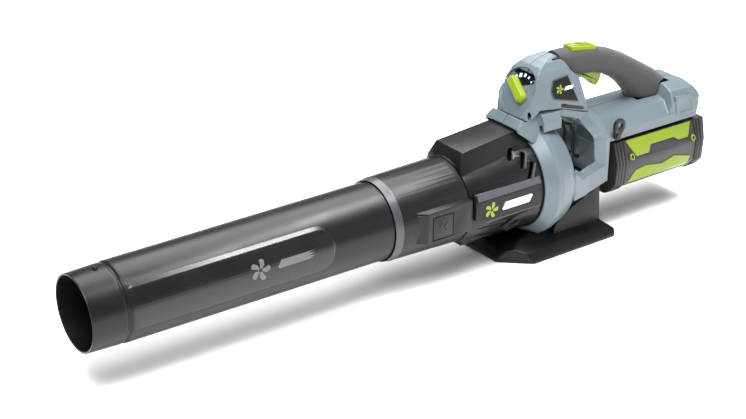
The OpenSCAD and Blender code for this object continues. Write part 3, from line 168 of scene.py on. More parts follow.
def place_in(tree: bpy.types.NodeTree) -> bpy.types.NodeSocket:
    """Output with the place on the object that is shaded."""
    return add_node(tree, "ShaderNodeTexCoord").outputs["Object"]


def start_material(name: str) -> tuple[bpy.types.Material, bpy.types.NodeTree, bpy.types.Node]:
    """Makes an empty material with a shader joined to its output.

    Args:
        name: the material's name.

    Returns:
        The material, its tree and its shader.
    """
    material = bpy.data.materials.new(name)
    material.use_nodes = True
    tree = material.node_tree
    tree.nodes.clear()
    shader = add_node(tree, "ShaderNodeBsdfPrincipled")
    add_node(tree, "ShaderNodeOutputMaterial", links={"Surface": shader.outputs["BSDF"]})
    return material, tree, shader


# ---- finishes ------------------------------------------------------------------------


@dataclass(frozen=True)
class MouldedPlastic:
    """Injection-moulded plastic with the fine grain of a spark-eroded mould."""

    name: str
    colour: str
    worn: str
    roughness: float
    grain_mm: float = 0.9
    grain_depth_mm: float = 0.05
    ior: float = 1.53
    coat: float = 0.0
    shine: float = 0.5

    def build(self) -> bpy.types.Material:
        """Makes the material: drifting tone, paler rubbed edges and an even grain."""
        material, tree, shader = start_material(self.name)
        place = place_in(tree)
        drift = add_node(tree, "ShaderNodeTexNoise", {"Scale": 14.0, "Detail": 5.0, "Roughness": 0.6},
                         {"Vector": place})
        specks = add_node(tree, "ShaderNodeTexNoise", {"Scale": 1 / (0.5 * MM), "Detail": 2.0},
                          {"Vector": place})
        tone = spread(tree, drift.outputs["Fac"], (0.3, 0.7), (0.94, 1.06))
        fleck = spread(tree, specks.outputs["Fac"], (0.25, 0.75), (0.93, 1.07))
        both = add_node(tree, "ShaderNodeMath", links={0: tone, 1: fleck}, operation="MULTIPLY")
        base = tinted(tree, self.colour, both.outputs[0])
        edge = add_node(tree, "ShaderNodeNewGeometry").outputs["Pointiness"]
        rub = spread(tree, edge, (0.53, 0.62), (0.0, 0.35))
        patchy = add_node(tree, "ShaderNodeMath", links={0: rub, 1: drift.outputs["Fac"]},
                          operation="MULTIPLY")
        colour = add_node(tree, "ShaderNodeMix", {"B": linear(self.worn)},
                          {"Factor": patchy.outputs[0], "A": base}, data_type="RGBA")
        sheen = spread(tree, drift.outputs["Fac"], (0.3, 0.7),
                       (self.roughness - 0.05, self.roughness + 0.05))
        grain = add_node(tree, "ShaderNodeTexVoronoi", {"Scale": 1 / (self.grain_mm * MM)},
                         {"Vector": place}, feature="SMOOTH_F1")
        bump = add_node(tree, "ShaderNodeBump",
                        {"Strength": 0.35, "Distance": self.grain_depth_mm * MM},
                        {"Height": grain.outputs["Distance"]})
        feed(tree, shader,
             {"IOR": self.ior, "Specular IOR Level": self.shine, "Coat Weight": self.coat,
              "Coat Roughness": 0.3},
             {"Base Color": colour.outputs["Result"], "Roughness": sheen, "Normal": bump.outputs["Normal"]})
        return material


@dataclass(frozen=True)
class SoftTouch:
    """Thermoplastic elastomer, moulded over the grip with small raised dots."""

    name: str
    colour: str
    roughness: float = 0.78
    dot_mm: float = 1.6

    def build(self) -> bpy.types.Material:
        """Makes the material: matt, a little sheen, dotted for hold."""
        material, tree, shader = start_material(self.name)
        place = place_in(tree)
        drift = add_node(tree, "ShaderNodeTexNoise", {"Scale": 22.0, "Detail": 6.0}, {"Vector": place})
        base = tinted(tree, self.colour, spread(tree, drift.outputs["Fac"], (0.3, 0.7), (0.88, 1.12)))
        dots = add_node(tree, "ShaderNodeTexVoronoi", {"Scale": 1 / (self.dot_mm * MM), "Randomness": 0.35},
                        {"Vector": place})
        bump = add_node(tree, "ShaderNodeBump", {"Strength": 0.5, "Distance": 0.12 * MM},
                        {"Height": dots.outputs["Distance"]}, invert=True)
        feed(tree, shader,
             {"Roughness": self.roughness, "Sheen Weight": 0.25, "Sheen Roughness": 0.45, "IOR": 1.5},
             {"Base Color": base, "Normal": bump.outputs["Normal"]})
        return material


@dataclass(frozen=True)
class GlossAcrylic:
    """Polished black acrylic that covers a badge or a scale, with hairline scuffs."""

    name: str
    colour: str

    def build(self) -> bpy.types.Material:
        """Makes the material: a deep clear gloss with faint scuffs."""
        material, tree, shader = start_material(self.name)
        place = place_in(tree)
        stretched = add_node(tree, "ShaderNodeMapping", {"Scale": (60.0, 900.0, 60.0)},
                             {"Vector": place})
        scuff = add_node(tree, "ShaderNodeTexNoise", {"Scale": 2.0, "Detail": 8.0},
                         {"Vector": stretched.outputs[0]})
        rough = spread(tree, scuff.outputs["Fac"], (0.45, 0.8), (0.16, 0.3))
        feed(tree, shader, {"Base Color": linear(self.colour), "IOR": 1.49, "Specular IOR Level": 0.22},
             {"Roughness": rough})
        return material


@dataclass(frozen=True)
class WorkedMetal:
    """Metal with the fine lines that grinding, turning or drawing leaves."""

    name: str
    colour: str
    roughness: float
    line_mm: float = 0.3

    def build(self) -> bpy.types.Material:
        """Makes the material: streaked tone and roughness along the working lines."""
        material, tree, shader = start_material(self.name)
        place = place_in(tree)
        lines = add_node(tree, "ShaderNodeMapping",
                         {"Scale": (1 / (self.line_mm * MM), 40.0, 40.0)}, {"Vector": place})
        streak = add_node(tree, "ShaderNodeTexNoise", {"Scale": 1.0, "Detail": 3.0},
                          {"Vector": lines.outputs[0]})
        base = tinted(tree, self.colour, spread(tree, streak.outputs["Fac"], (0.3, 0.7), (0.85, 1.1)))
        rough = spread(tree, streak.outputs["Fac"], (0.3, 0.7),
                       (self.roughness - 0.07, self.roughness + 0.07))
        feed(tree, shader, {"Metallic": 1.0}, {"Base Color": base, "Roughness": rough})
        return material


@dataclass(frozen=True)
class WoundCopper:
    """Enamelled copper wire wound in turns."""

    name: str
    colour: str
    wire_mm: float = 0.9

    def build(self) -> bpy.types.Material:
        """Makes the material: bands of round wire, warm and glossy."""
        material, tree, shader = start_material(self.name)
        place = place_in(tree)
        turns = add_node(tree, "ShaderNodeTexWave",
                         {"Scale": 1 / (self.wire_mm * MM) / 20, "Distortion": 0.4},
                         {"Vector": place}, wave_type="BANDS", bands_direction="X")
        base = tinted(tree, self.colour, spread(tree, turns.outputs["Fac"], (0.0, 1.0), (0.35, 1.0)))
        bump = add_node(tree, "ShaderNodeBump", {"Strength": 0.7, "Distance": 0.3 * MM},
                        {"Height": turns.outputs["Fac"]})
        feed(tree, shader, {"Metallic": 1.0, "Roughness": 0.32},
             {"Base Color": base, "Normal": bump.outputs["Normal"]})
        return material


class Finish(Enum):
    """Every finish on the blower."""

    # Grey ABS from a fine-eroded mould: satin, cool, with paler rubbed edges
    GREY_ABS = MouldedPlastic("abs_cool_grey_eroded", "#57636a", "#84919a", 0.38, 0.8, 0.03)
    # Glass-filled nylon in charcoal, moulded smooth: a soft broad shine
    CHARCOAL_NYLON = MouldedPlastic("nylon_charcoal_moulded", "#101012", "#303032", 0.32, 1.1, 0.03,
                                    shine=0.24)
    # Darker nylon of the coupler and housing, a shade rougher
    HOUSING_NYLON = MouldedPlastic("nylon_housing_moulded", "#0f0f11", "#303032", 0.34, 1.0, 0.03, shine=0.24)
    # Near-black polypropylene of the foot with a coarse leathery grain
    BLACK_PP = MouldedPlastic("polypropylene_black_grained", "#0c0c0d", "#262627", 0.36, 1.6, 0.05, shine=0.2)
    # Lime ABS, satin, that marks what the hand moves or takes out
    LIME_ABS = MouldedPlastic("abs_lime_satin", "#71850c", "#9fb238", 0.38, 0.7, 0.02, shine=0.4)
    # Warm grey polycarbonate blend of the pack, lightly grained
    PACK_PC = MouldedPlastic("pc_abs_warm_grey_grained", "#292728", "#4c4a4b", 0.42, 1.2, 0.05, shine=0.36)
    # Smoother charcoal of the tube's side panels, with a tighter shine
    PANEL_NYLON = MouldedPlastic("nylon_charcoal_polished_mould", "#0f0f11", "#303032", 0.24, 1.4, 0.01,
                                 shine=0.4)
    # Mid-grey satin that paints highlight on the coupler's chamfered front edge and along the badge plates'
    # bevels; it also colours the inlet slats and the head windows' frames
    HIGHLIGHT_AND_TRIM_GREY = MouldedPlastic("mid_grey_painted_highlight_and_trim", "#33363a", "#5c6064", 0.32, 0.8, 0.02)
    # Pad-printed grey of the tube's mark
    PRINT_GREY = MouldedPlastic("pad_print_grey", "#55585a", "#77797b", 0.45, 0.6, 0.01)
    # Pad-printed white
    PRINT_WHITE = MouldedPlastic("pad_print_white", "#d9dbdc", "#f2f3f3", 0.42, 0.6, 0.01)
    # Glass-filled black of switches, sockets and rails
    BLACK_PBT = MouldedPlastic("pbt_black_moulded", "#101011", "#2b2b2d", 0.42, 0.6, 0.03, shine=0.3)
    # Ivory cell holders
    IVORY_ABS = MouldedPlastic("abs_ivory_moulded", "#d6d6cf", "#efefe9", 0.45, 0.8, 0.03)
    # Blue shrink sleeves of the cells
    BLUE_SLEEVE = MouldedPlastic("pvc_shrink_sleeve_blue", "#2b6fa6", "#6fa3cb", 0.28, 2.0, 0.02)
    # Green solder mask over glass fibre board
    SOLDER_MASK = MouldedPlastic("solder_mask_green", "#1c6a3a", "#3f9560", 0.3, 0.5, 0.02, coat=0.4)
    # Black cable jackets
    CABLE_PVC = MouldedPlastic("pvc_cable_jacket_black", "#19191a", "#3a3a3b", 0.5, 0.8, 0.02)
    # Nitrile seal
    SEAL_RUBBER = MouldedPlastic("nitrile_rubber_black", "#18181a", "#303032", 0.72, 0.5, 0.03)
    # Soft grip
    SOFT_GRIP = SoftTouch("tpe_soft_touch_charcoal", "#2d2b2d")
    # Gloss windows
    GLOSS_WINDOW = GlossAcrylic("acrylic_black_polished", "#0b0b0c")
    # Ground steel of shafts and pins
    GROUND_STEEL = WorkedMetal("steel_ground", "#c3c6ca", 0.28)
    # Blackened screws
    BLACK_STEEL = WorkedMetal("steel_blackened", "#4b4c4f", 0.42)
    # Turned steel of the rotor can
    TURNED_STEEL = WorkedMetal("steel_turned", "#8b8f93", 0.34, 0.5)
    # Gold-plated contacts
    PLATED_BRASS = WorkedMetal("brass_gold_plated", "#d4ad4a", 0.25)
    # Motor windings
    COPPER = WoundCopper("copper_enamelled_wound", "#b8672f")


_MATERIALS: dict[Finish, bpy.types.Material] = {}


def material_of(finish: Finish) -> bpy.types.Material:
    """Gives the finish's material, made on first use."""
    if finish not in _MATERIALS:
        _MATERIALS[finish] = finish.value.build()
    return _MATERIALS[finish]


# ---- mesh tools ----------------------------------------------------------------------


def written(name: str, bm: bmesh.types.BMesh) -> bpy.types.Mesh:
    """Writes a bmesh to a new mesh and frees it.

    Args:
        name: the mesh's name.
        bm: what to write.

    Returns:
        The mesh.
    """
    mesh = bpy.data.meshes.new(name)
    bm.to_mesh(mesh)
    bm.free()
    return mesh


def as_mesh(name: str, bm: bmesh.types.BMesh) -> bpy.types.Mesh:
    """Writes a bmesh to a new mesh with every face turned outwards, and frees it."""
    bmesh.ops.recalc_face_normals(bm, faces=bm.faces)
    return written(name, bm)


def opened(mesh: bpy.types.Mesh) -> bmesh.types.BMesh:
    """Bmesh with a copy of a mesh."""
    bm = bmesh.new()
    bm.from_mesh(mesh)
    return bm


def linked(name: str, data: bpy.types.ID) -> bpy.types.Object:
    """Puts a mesh, lamp or camera in the scene.

    Args:
        name: name of the object.
        data: what the object shows.

    Returns:
        The object.
    """
    obj = bpy.data.objects.new(name, data)
    bpy.context.scene.collection.objects.link(obj)
    return obj


def settled(obj: bpy.types.Object) -> bpy.types.Mesh:
    """Takes an object out of the scene and keeps its mesh, with its modifiers applied.

    Args:
        obj: object to take out.

    Returns:
        The plain mesh.
    """
    bpy.context.view_layer.update()
    graph = bpy.context.evaluated_depsgraph_get()
    done = bpy.data.meshes.new_from_object(obj.evaluated_get(graph))
    old = obj.data
    bpy.data.objects.remove(obj)
    if old.users == 0:
        bpy.data.meshes.remove(old)
    return done


def soften(mesh: bpy.types.Mesh, angle: float = CREASE) -> None:
    """Smooth shading with creases kept where faces meet at more than the angle.

    Args:
        mesh: mesh to shade.
        angle: crease angle in degrees.
    """
    mesh.shade_smooth()
    mesh.set_sharp_from_angle(angle=math.radians(angle))


def room_at(edge: bmesh.types.BMEdge) -> float:
    """How wide an edge can be rounded before it meets what lies beside it.

    Args:
        edge: the edge to round.

    Returns:
        The width in metres.
    """
    room = 1.0
    along = (edge.verts[1].co - edge.verts[0].co).normalized()
    for vert in edge.verts:
        for other in vert.link_edges:
            if other is edge:
                continue
            way = other.other_vert(vert).co - vert.co
            length = way.length
            if length < 1e-9:
                continue
            sine = along.cross(way / length).length
            if sine > SIDE_SINE:
                room = min(room, ROOM_SHARE * length * sine)
    return room


def gap_to(edge: bmesh.types.BMEdge, spot: Vector) -> float:
    """Distance in metres from an edge to a point."""
    start, end = edge.verts[0].co, edge.verts[1].co
    share = (spot - start).dot(end - start) / max((end - start).length_squared, 1e-12)
    return (spot - start - (end - start) * max(0.0, min(1.0, share))).length


def weighted_copy(name: str, source: bpy.types.Mesh, radius: float,
                  barred: Sequence[Vector]) -> bpy.types.Mesh:
    """Copy of a mesh with a rounding weight on each sharp edge.

    Args:
        name: name of the new mesh.
        source: mesh to copy.
        radius: widest rounding in metres.
        barred: places beside which edges stay sharp.

    Returns:
        The weighted mesh.
    """
    bm = opened(source)
    bmesh.ops.remove_doubles(bm, verts=bm.verts, dist=WELD)
    bmesh.ops.dissolve_limit(bm, angle_limit=math.radians(0.6), verts=bm.verts, edges=bm.edges)
    weight = bm.edges.layers.float.new("bevel_weight_edge")
    for edge in bm.edges:
        if len(edge.link_faces) != 2 or edge.calc_face_angle(0.0) < math.radians(EDGE_ANGLE):
            continue
        room = room_at(edge)
        if room <= LEAST_ROOM or any(gap_to(edge, spot) < BARRED_WITHIN * radius for spot in barred):
            continue
        edge[weight] = min(1.0, room / radius)
    return written(name, bm)


def rounded_mesh(name: str, source: bpy.types.Mesh, radius_mm: float,
                 segments: int = 3) -> bpy.types.Mesh:
    """Copy of a mesh whose sharp edges are rounded as far as each has room.

    A rounding that would throw a point off the old surface is taken back.

    Args:
        name: name of the new mesh.
        source: mesh to copy.
        radius_mm: widest rounding.
        segments: faces across a rounding.

    Returns:
        The rounded mesh.
    """
    radius = radius_mm * MM
    bm = opened(source)
    surface = BVHTree.FromBMesh(bm)
    bm.free()
    barred: list[Vector] = []
    for _ in range(ROUNDING_TRIES):
        obj = linked(name, weighted_copy(name, source, radius, barred))
        bevel = obj.modifiers.new("rounding", "BEVEL")
        bevel.limit_method = "WEIGHT"
        bevel.width = radius
        bevel.segments = segments
        bevel.use_clamp_overlap = False
        bevel.miter_outer = "MITER_ARC"
        done = settled(obj)
        strays = [v.co.copy() for v in done.vertices
                  if surface.find_nearest(v.co)[3] > STRAY * radius]
        if not strays:
            break
        for stray in strays:
            if all((stray - spot).length > SPOT_APART * radius for spot in barred):
                barred += [surface.find_nearest(stray)[0], stray]
    log.info("%s: %d places kept sharp", name, len(barred))
    soften(done)
    return done


def joined(meshes: Sequence[bpy.types.Mesh], name: str) -> bpy.types.Mesh:
    """Puts several meshes into one.

    Args:
        meshes: what to put together.
        name: name of the new mesh.

    Returns:
        The new mesh.
    """
    bm = bmesh.new()
    for mesh in meshes:
        bm.from_mesh(mesh)
    return written(name, bm)


def combined(first: bpy.types.Mesh, second: bpy.types.Mesh, how: str) -> bpy.types.Mesh:
    """Adds, cuts or crosses two closed meshes.

    Args:
        first: mesh that is changed.
        second: mesh that it is changed with.
        how: "UNION", "DIFFERENCE" or "INTERSECT".

    Returns:
        A new mesh.
    """
    obj = linked("work", first.copy())
    tool = linked("tool", second)
    step = obj.modifiers.new("step", "BOOLEAN")
    step.operation = how
    step.solver = "EXACT"
    step.use_self = True
    step.object = tool
    done = settled(obj)
    bpy.data.objects.remove(tool)
    return done


def cast(mesh: bpy.types.Mesh, voxel_mm: float, passes: int) -> bpy.types.Mesh:
    """Recasts a closed mesh as one even skin with soft moulded edges.

    Args:
        mesh: closed mesh, which may be several solids that meet.
        voxel_mm: size of the new faces.
        passes: how often the skin is evened out.

    Returns:
        A new mesh.
    """
    obj = linked("cast", mesh.copy())
    skin = obj.modifiers.new("skin", "REMESH")
    skin.mode = "VOXEL"
    skin.voxel_size = voxel_mm * MM
    skin.adaptivity = 0.0
    even = obj.modifiers.new("even", "SMOOTH")
    even.factor = 0.5
    even.iterations = passes
    fewer = obj.modifiers.new("fewer", "DECIMATE")
    fewer.ratio = CAST_KEEP
    return settled(obj)


def split_off(mesh: bpy.types.Mesh, at: Vector, facing: Vector, name: str) -> bpy.types.Mesh:
    """Part of a closed mesh behind a plane, with the cut closed.

    Args:
        mesh: mesh to cut, which stays as it is.
        at: point on the plane.
        facing: direction of the side that is taken away.
        name: name of the new mesh.

    Returns:
        The part that is left.
    """
    bm = opened(mesh)
    cut = bmesh.ops.bisect_plane(bm, geom=bm.verts[:] + bm.edges[:] + bm.faces[:], dist=1e-7,
                                 plane_co=at, plane_no=facing, clear_outer=True)
    rim = [e for e in cut["geom_cut"] if isinstance(e, bmesh.types.BMEdge)]
    bmesh.ops.triangle_fill(bm, edges=rim, use_beauty=False)
    return written(name, bm)


def lofted(rings: Sequence[Sequence[Point]], name: str, closed: bool = False) -> bpy.types.Mesh:
    """Skins a row of rings that all have as many points.

    Args:
        rings: rings of points in millimetres.
        name: name of the mesh.
        closed: joins the last ring to the first in place of end caps.

    Returns:
        The mesh.
    """
    bm = bmesh.new()
    loops = [[bm.verts.new(Vector(p) * MM) for p in ring] for ring in rings]
    count = len(loops[0])
    pairs = list(zip(loops, loops[1:])) + ([(loops[-1], loops[0])] if closed else [])
    for low, high in pairs:
        for k in range(count):
            bm.faces.new((low[k], low[(k + 1) % count], high[(k + 1) % count], high[k]))
    if not closed:
        bm.faces.new(loops[0])
        bm.faces.new(list(reversed(loops[-1])))
    return as_mesh(name, bm)


def lathed(outline: Sequence[Flat], name: str, steps: int) -> bpy.types.Mesh:
    """Turns a closed outline about the fan axis.

    Args:
        outline: (radius, x) points in millimetres.
        name: name of the mesh.
        steps: faces round the axis.

    Returns:
        The mesh.
    """
    bm = bmesh.new()
    rows = [[bm.verts.new((x * MM, r * MM * math.cos(2 * math.pi * k / steps),
                           r * MM * math.sin(2 * math.pi * k / steps) + FAN_AXIS_Z))
             for k in range(steps)] for r, x in outline]
    for low, high in zip(rows, rows[1:] + rows[:1]):
        for k in range(steps):
            bm.faces.new((low[k], low[(k + 1) % steps], high[(k + 1) % steps], high[k]))
    return as_mesh(name, bm)


def prism(outline: Sequence[Flat], axis: str, low: float, high: float, name: str) -> bpy.types.Mesh:
    """Carries an outline straight along one axis.

    Args:
        outline: points in millimetres: (x, z) for Y, (y, z) for X, (x, y) for Z. Heights
            count from the fan axis.
        axis: "X", "Y" or "Z".
        low: start in millimetres.
        high: end in millimetres.
        name: name of the mesh.

    Returns:
        The closed mesh.
    """
    lift = AXIS_MM

    def spot(p: Flat, t: float) -> Point:
        """One corner of the prism."""
        if axis == "Y":
            return (p[0], t, p[1] + lift)
        if axis == "X":
            return (t, p[0], p[1] + lift)
        return (p[0], p[1], t + lift)

    return lofted([[spot(p, low) for p in outline], [spot(p, high) for p in outline]], name)


def mirrored(mesh: bpy.types.Mesh, name: str) -> bpy.types.Mesh:
    """Copy of a mesh on the other side of the machine.

    Args:
        mesh: mesh to mirror.
        name: name of the copy.

    Returns:
        The mirrored mesh.
    """
    done = mesh.copy()
    done.name = name
    done.transform(Matrix.Scale(-1, 4, (0, 1, 0)))
    done.flip_normals()
    return done


def turned(p: float, q: float, angle: float) -> Flat:
    """Point turned about the origin by an angle in radians."""
    c, d = math.cos(angle), math.sin(angle)
    return (p * c - q * d, p * d + q * c)


def circle(radius: float, count: int) -> list[Flat]:
    """Points evenly round a circle about the origin."""
    return [(radius * math.cos(math.tau * k / count), radius * math.sin(math.tau * k / count))
            for k in range(count)]


# ---- placing -------------------------------------------------------------------------


def body_holding(node: str) -> str:
    """Name of the body that a CAD node rides on."""
    return next(b for b, nodes in frame["record"]["behaviour"]["bodies"].items() if node in nodes)


def place(name: str, mesh: bpy.types.Mesh, finish: Finish, node: str,
          stands_for: Iterable[str] = ()) -> bpy.types.Object:
    """Puts a finished mesh on the machine.

    Args:
        name: the piece's name.
        mesh: its mesh, in the machine's frame.
        finish: what it is made of.
        node: CAD node whose body it rides on.
        stands_for: CAD nodes that it replaces.

    Returns:
        The placed object.
    """
    mesh.materials.clear()
    mesh.materials.append(material_of(finish))
    obj = linked(name, mesh)
    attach(obj, body_holding(node))
    if stands_for:
        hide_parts(*stands_for)
    log.info("%s: %d faces", name, len(mesh.polygons))
    return obj


def round_over(node: str, finish: Finish, radius_mm: float, segments: int = 3) -> bpy.types.Object:
    """Replaces a CAD node by a copy with moulded, rounded edges.

    Args:
        node: CAD node to replace.
        finish: what it is made of.
        radius_mm: widest rounding.
        segments: faces across a rounding.

    Returns:
        The new piece.
    """
    mesh = rounded_mesh(f"{node}_moulded", frame["nodes"][node].data, radius_mm, segments)
    return place(f"{node}_moulded", mesh, finish, node, [node])


def dress(finish: Finish, *nodes: str) -> None:
    """Gives CAD nodes that stay as they are their finish.

    Args:
        finish: what they are made of.
        nodes: CAD nodes to dress.
    """
    for node in nodes:
        mesh = frame["nodes"][node].data
        mesh.materials.clear()
        mesh.materials.append(material_of(finish))
        soften(mesh, CAD_CREASE)


# ---- sub-assemblies ------------------------------------------------------------------


def wrapped(outline: Sequence[Flat], at: Flat, radius: float, thick: float, name: str,
            side: int) -> bpy.types.Mesh:
    """Lays a flat outline round the fan axis as a thin raised patch.

    Args:
        outline: (along, up) points in millimetres.
        at: where its origin goes: x in millimetres and degrees over the side's middle.
        radius: radius of the patch's outer skin.
        thick: how deep the patch reaches.
        name: name of the mesh.
        side: -1 for the left, 1 for the right.

    Returns:
        The mesh.
    """
    bm = bmesh.new()
    bm.faces.new([bm.verts.new((u, v, 0.0)) for u, v in outline])
    bmesh.ops.triangulate(bm, faces=bm.faces[:])
    bmesh.ops.subdivide_edges(bm, edges=bm.edges[:], cuts=2, use_grid_fill=True)
    grown = bmesh.ops.extrude_face_region(bm, geom=bm.faces[:])["geom"]
    for v in grown:
        if isinstance(v, bmesh.types.BMVert):
            v.co.z = thick
    for v in bm.verts:
        r = radius - thick + v.co.z
        turn = math.radians(at[1]) + v.co.y / radius
        v.co = Vector((at[0] + v.co.x, side * r * math.cos(turn),
                       r * math.sin(turn) + AXIS_MM)) * MM
    return as_mesh(name, bm)


def fan_icon(radius: float) -> list[list[Flat]]:
    """Outlines of a plain five-bladed fan about its own middle."""
    blade = [(0.16, -0.1), (0.5, -0.3), (0.9, -0.22), (1.0, 0.04), (0.86, 0.26), (0.5, 0.12), (0.18, 0.08)]
    return [[(radius * u, radius * v) for u, v in (turned(p, q, math.tau * k / 5) for p, q in blade)]
            for k in range(5)]


def lozenge(length: float, height: float, slant: float) -> list[Flat]:
    """Outline of a plain bar with slanted ends about its own middle."""
    a, b = length / 2, height / 2
    return [(-a, -b * 0.6), (-a + slant, b), (a - slant * 0.3, b), (a, b * 0.6), (a - slant, -b),
            (-a + slant * 0.3, -b)]


def moved(outline: Sequence[Flat], by: Flat) -> list[Flat]:
    """Copy of an outline moved by an offset."""
    return [(p + by[0], q + by[1]) for p, q in outline]


@dataclass
class BlowerTube:
    """Tube with its coupler, latches and seal."""

    rim_x: float = -644.9
    collar: float = 43.0
    mouth_r: float = 45.0
    front_x: float = -254.9
    tail_x: float = -204.9
    tube_r: float = 48.6
    wall: float = 2.2
    lug_x: float = 29.0
    panel_x: Flat = (-596.5, -338.0)
    panel_turn: Flat = (-20.0, 47.0)
    panel_rise: float = 0.8
    # Where the icon and the bar sit: x, and degrees over the side's middle
    icon_at: Flat = (-440.0, 12.0)
    bar_at: Flat = (-384.0, 12.0)
    mark_mm: float = 0.6

    def radius(self, x: float) -> float:
        """Outer radius of the tube at a station, in millimetres."""
        start = self.rim_x + self.collar + 4
        t = (x - start) / (self.front_x - 6 - start)
        return self.mouth_r + 1.8 + (self.tube_r - self.mouth_r - 1.8) * min(max(t, 0), 1)

    def skin(self) -> bpy.types.Mesh:
        """Tube with its collar, its groove and the bayonet lugs."""
        r, x, w = self.mouth_r, self.rim_x, self.wall
        outline = [(r - 0.9, x), (r - 0.2, x + 0.3), (r, x + 1.0), (r + 1, x + 37.0), (r + 1, x + 39.0),
                   (r + 0.6, x + 40.6), (r - 0.1, x + 42.0), (r - 0.1, x + 43.4), (r + 0.9, x + 44.4),
                   (r + 1.6, x + 45.6), (r + 1.8, x + 47.4), (self.tube_r, self.front_x - 6),
                   (self.tube_r, self.tail_x - 1), (self.tube_r - 0.8, self.tail_x),
                   (self.tube_r - w, self.tail_x), (self.tube_r - w, self.front_x - 6),
                   (r - w, x + self.collar), (r - w, x + 0.5)]
        lugs = []
        for z in (r - 1, -r - 3.3):
            rings = [[(x + self.lug_x + u, v, z + h + AXIS_MM) for u, v in circle(q, 24)]
                     for q, h in ((3.0, 0.0), (3.0, 3.6), (2.4, 4.3), (1.2, 4.3))]
            if z < 0:
                rings = [[(a, b, 2 * (z + AXIS_MM) + 3.9 - c) for a, b, c in ring] for ring in rings]
            lugs.append(lofted(rings, "lug"))
        return joined([lathed(outline, "tube", 180), *lugs], "blower_tube_moulded")

    def panel(self, side: int) -> bpy.types.Mesh:
        """Raised side panel with a broad bevel and a rounded rear end."""
        low, high = self.panel_turn
        mid, half = (low + high) / 2, (high - low) / 2
        steps, rings = 60, []
        for i in range(steps + 1):
            x = self.panel_x[0] + (self.panel_x[1] - self.panel_x[0]) * i / steps
            left = max(self.panel_x[1] - x, 0.0)
            into = max(0.0, 1 - left / 26.0)
            span = half * max(0.12, (1 - into ** 2.6) ** 0.5) if into else half
            edge = min(1.0, (x - self.panel_x[0]) / 4.0, left / 4.0 + 0.02)
            base = self.radius(x)
            row = []
            across = [(-0.9 + 0.12 * k, 1.0) for k in range(15)]
            for t, h in ((-1.0, -0.4), (-1.0, 0.0), (-0.955, 0.85), *across, (0.82, 0.94), (0.98, 0.06),
                         (1.0, 0.0), (1.0, -0.4)):
                turn = math.radians(mid + span * t)
                r = base + (self.panel_rise * h * edge if h > 0 else h)
                row.append((x, side * r * math.cos(turn), r * math.sin(turn) + AXIS_MM))
            rings.append(row)
        return lofted(rings, f"tube_panel_{side}")

    def build(self) -> None:
        """Makes every piece of the tube."""
        place("blower_tube_moulded", self.skin(), Finish.CHARCOAL_NYLON, "blower_tube", ["blower_tube"])
        place("tube_side_panels", joined([self.panel(-1), self.panel(1)], "tube_side_panels"),
              Finish.PANEL_NYLON, "blower_tube")
        marks = []
        for side in (-1, 1):
            skin = self.radius(-400) + self.panel_rise + 0.15
            for shape in fan_icon(13.0):
                marks.append(wrapped(shape, self.icon_at, skin, self.mark_mm, "mark", side))
            marks.append(wrapped(lozenge(66, 9, 5), self.bar_at, skin, self.mark_mm, "mark", side))
        place("tube_marks", joined(marks, "tube_marks"), Finish.PRINT_GREY, "blower_tube")
        round_over("tube_coupler", Finish.HOUSING_NYLON, 1.0)
        # Painted highlight: a mid-grey shell laid just over the coupler's chamfered front edge, where light
        # catches it
        lip_highlight = [(49.9, self.front_x), (50.6, self.front_x + 0.1), (52.35, self.front_x + 9.4),
               (52.4, self.front_x + 10.2), (52.0, self.front_x + 10.6), (49.9, self.front_x + 2)]
        place("coupler_lip_painted_highlight", lathed(lip_highlight, "coupler_lip_painted_highlight", 180), Finish.HIGHLIGHT_AND_TRIM_GREY, "tube_coupler")
        for side in ("left", "right"):
            round_over(f"tube_latch_{side}", Finish.BLACK_PBT, 0.8)
        dress(Finish.SEAL_RUBBER, "tube_seal")
        dress(Finish.GROUND_STEEL, "latch_pins", "latch_springs")


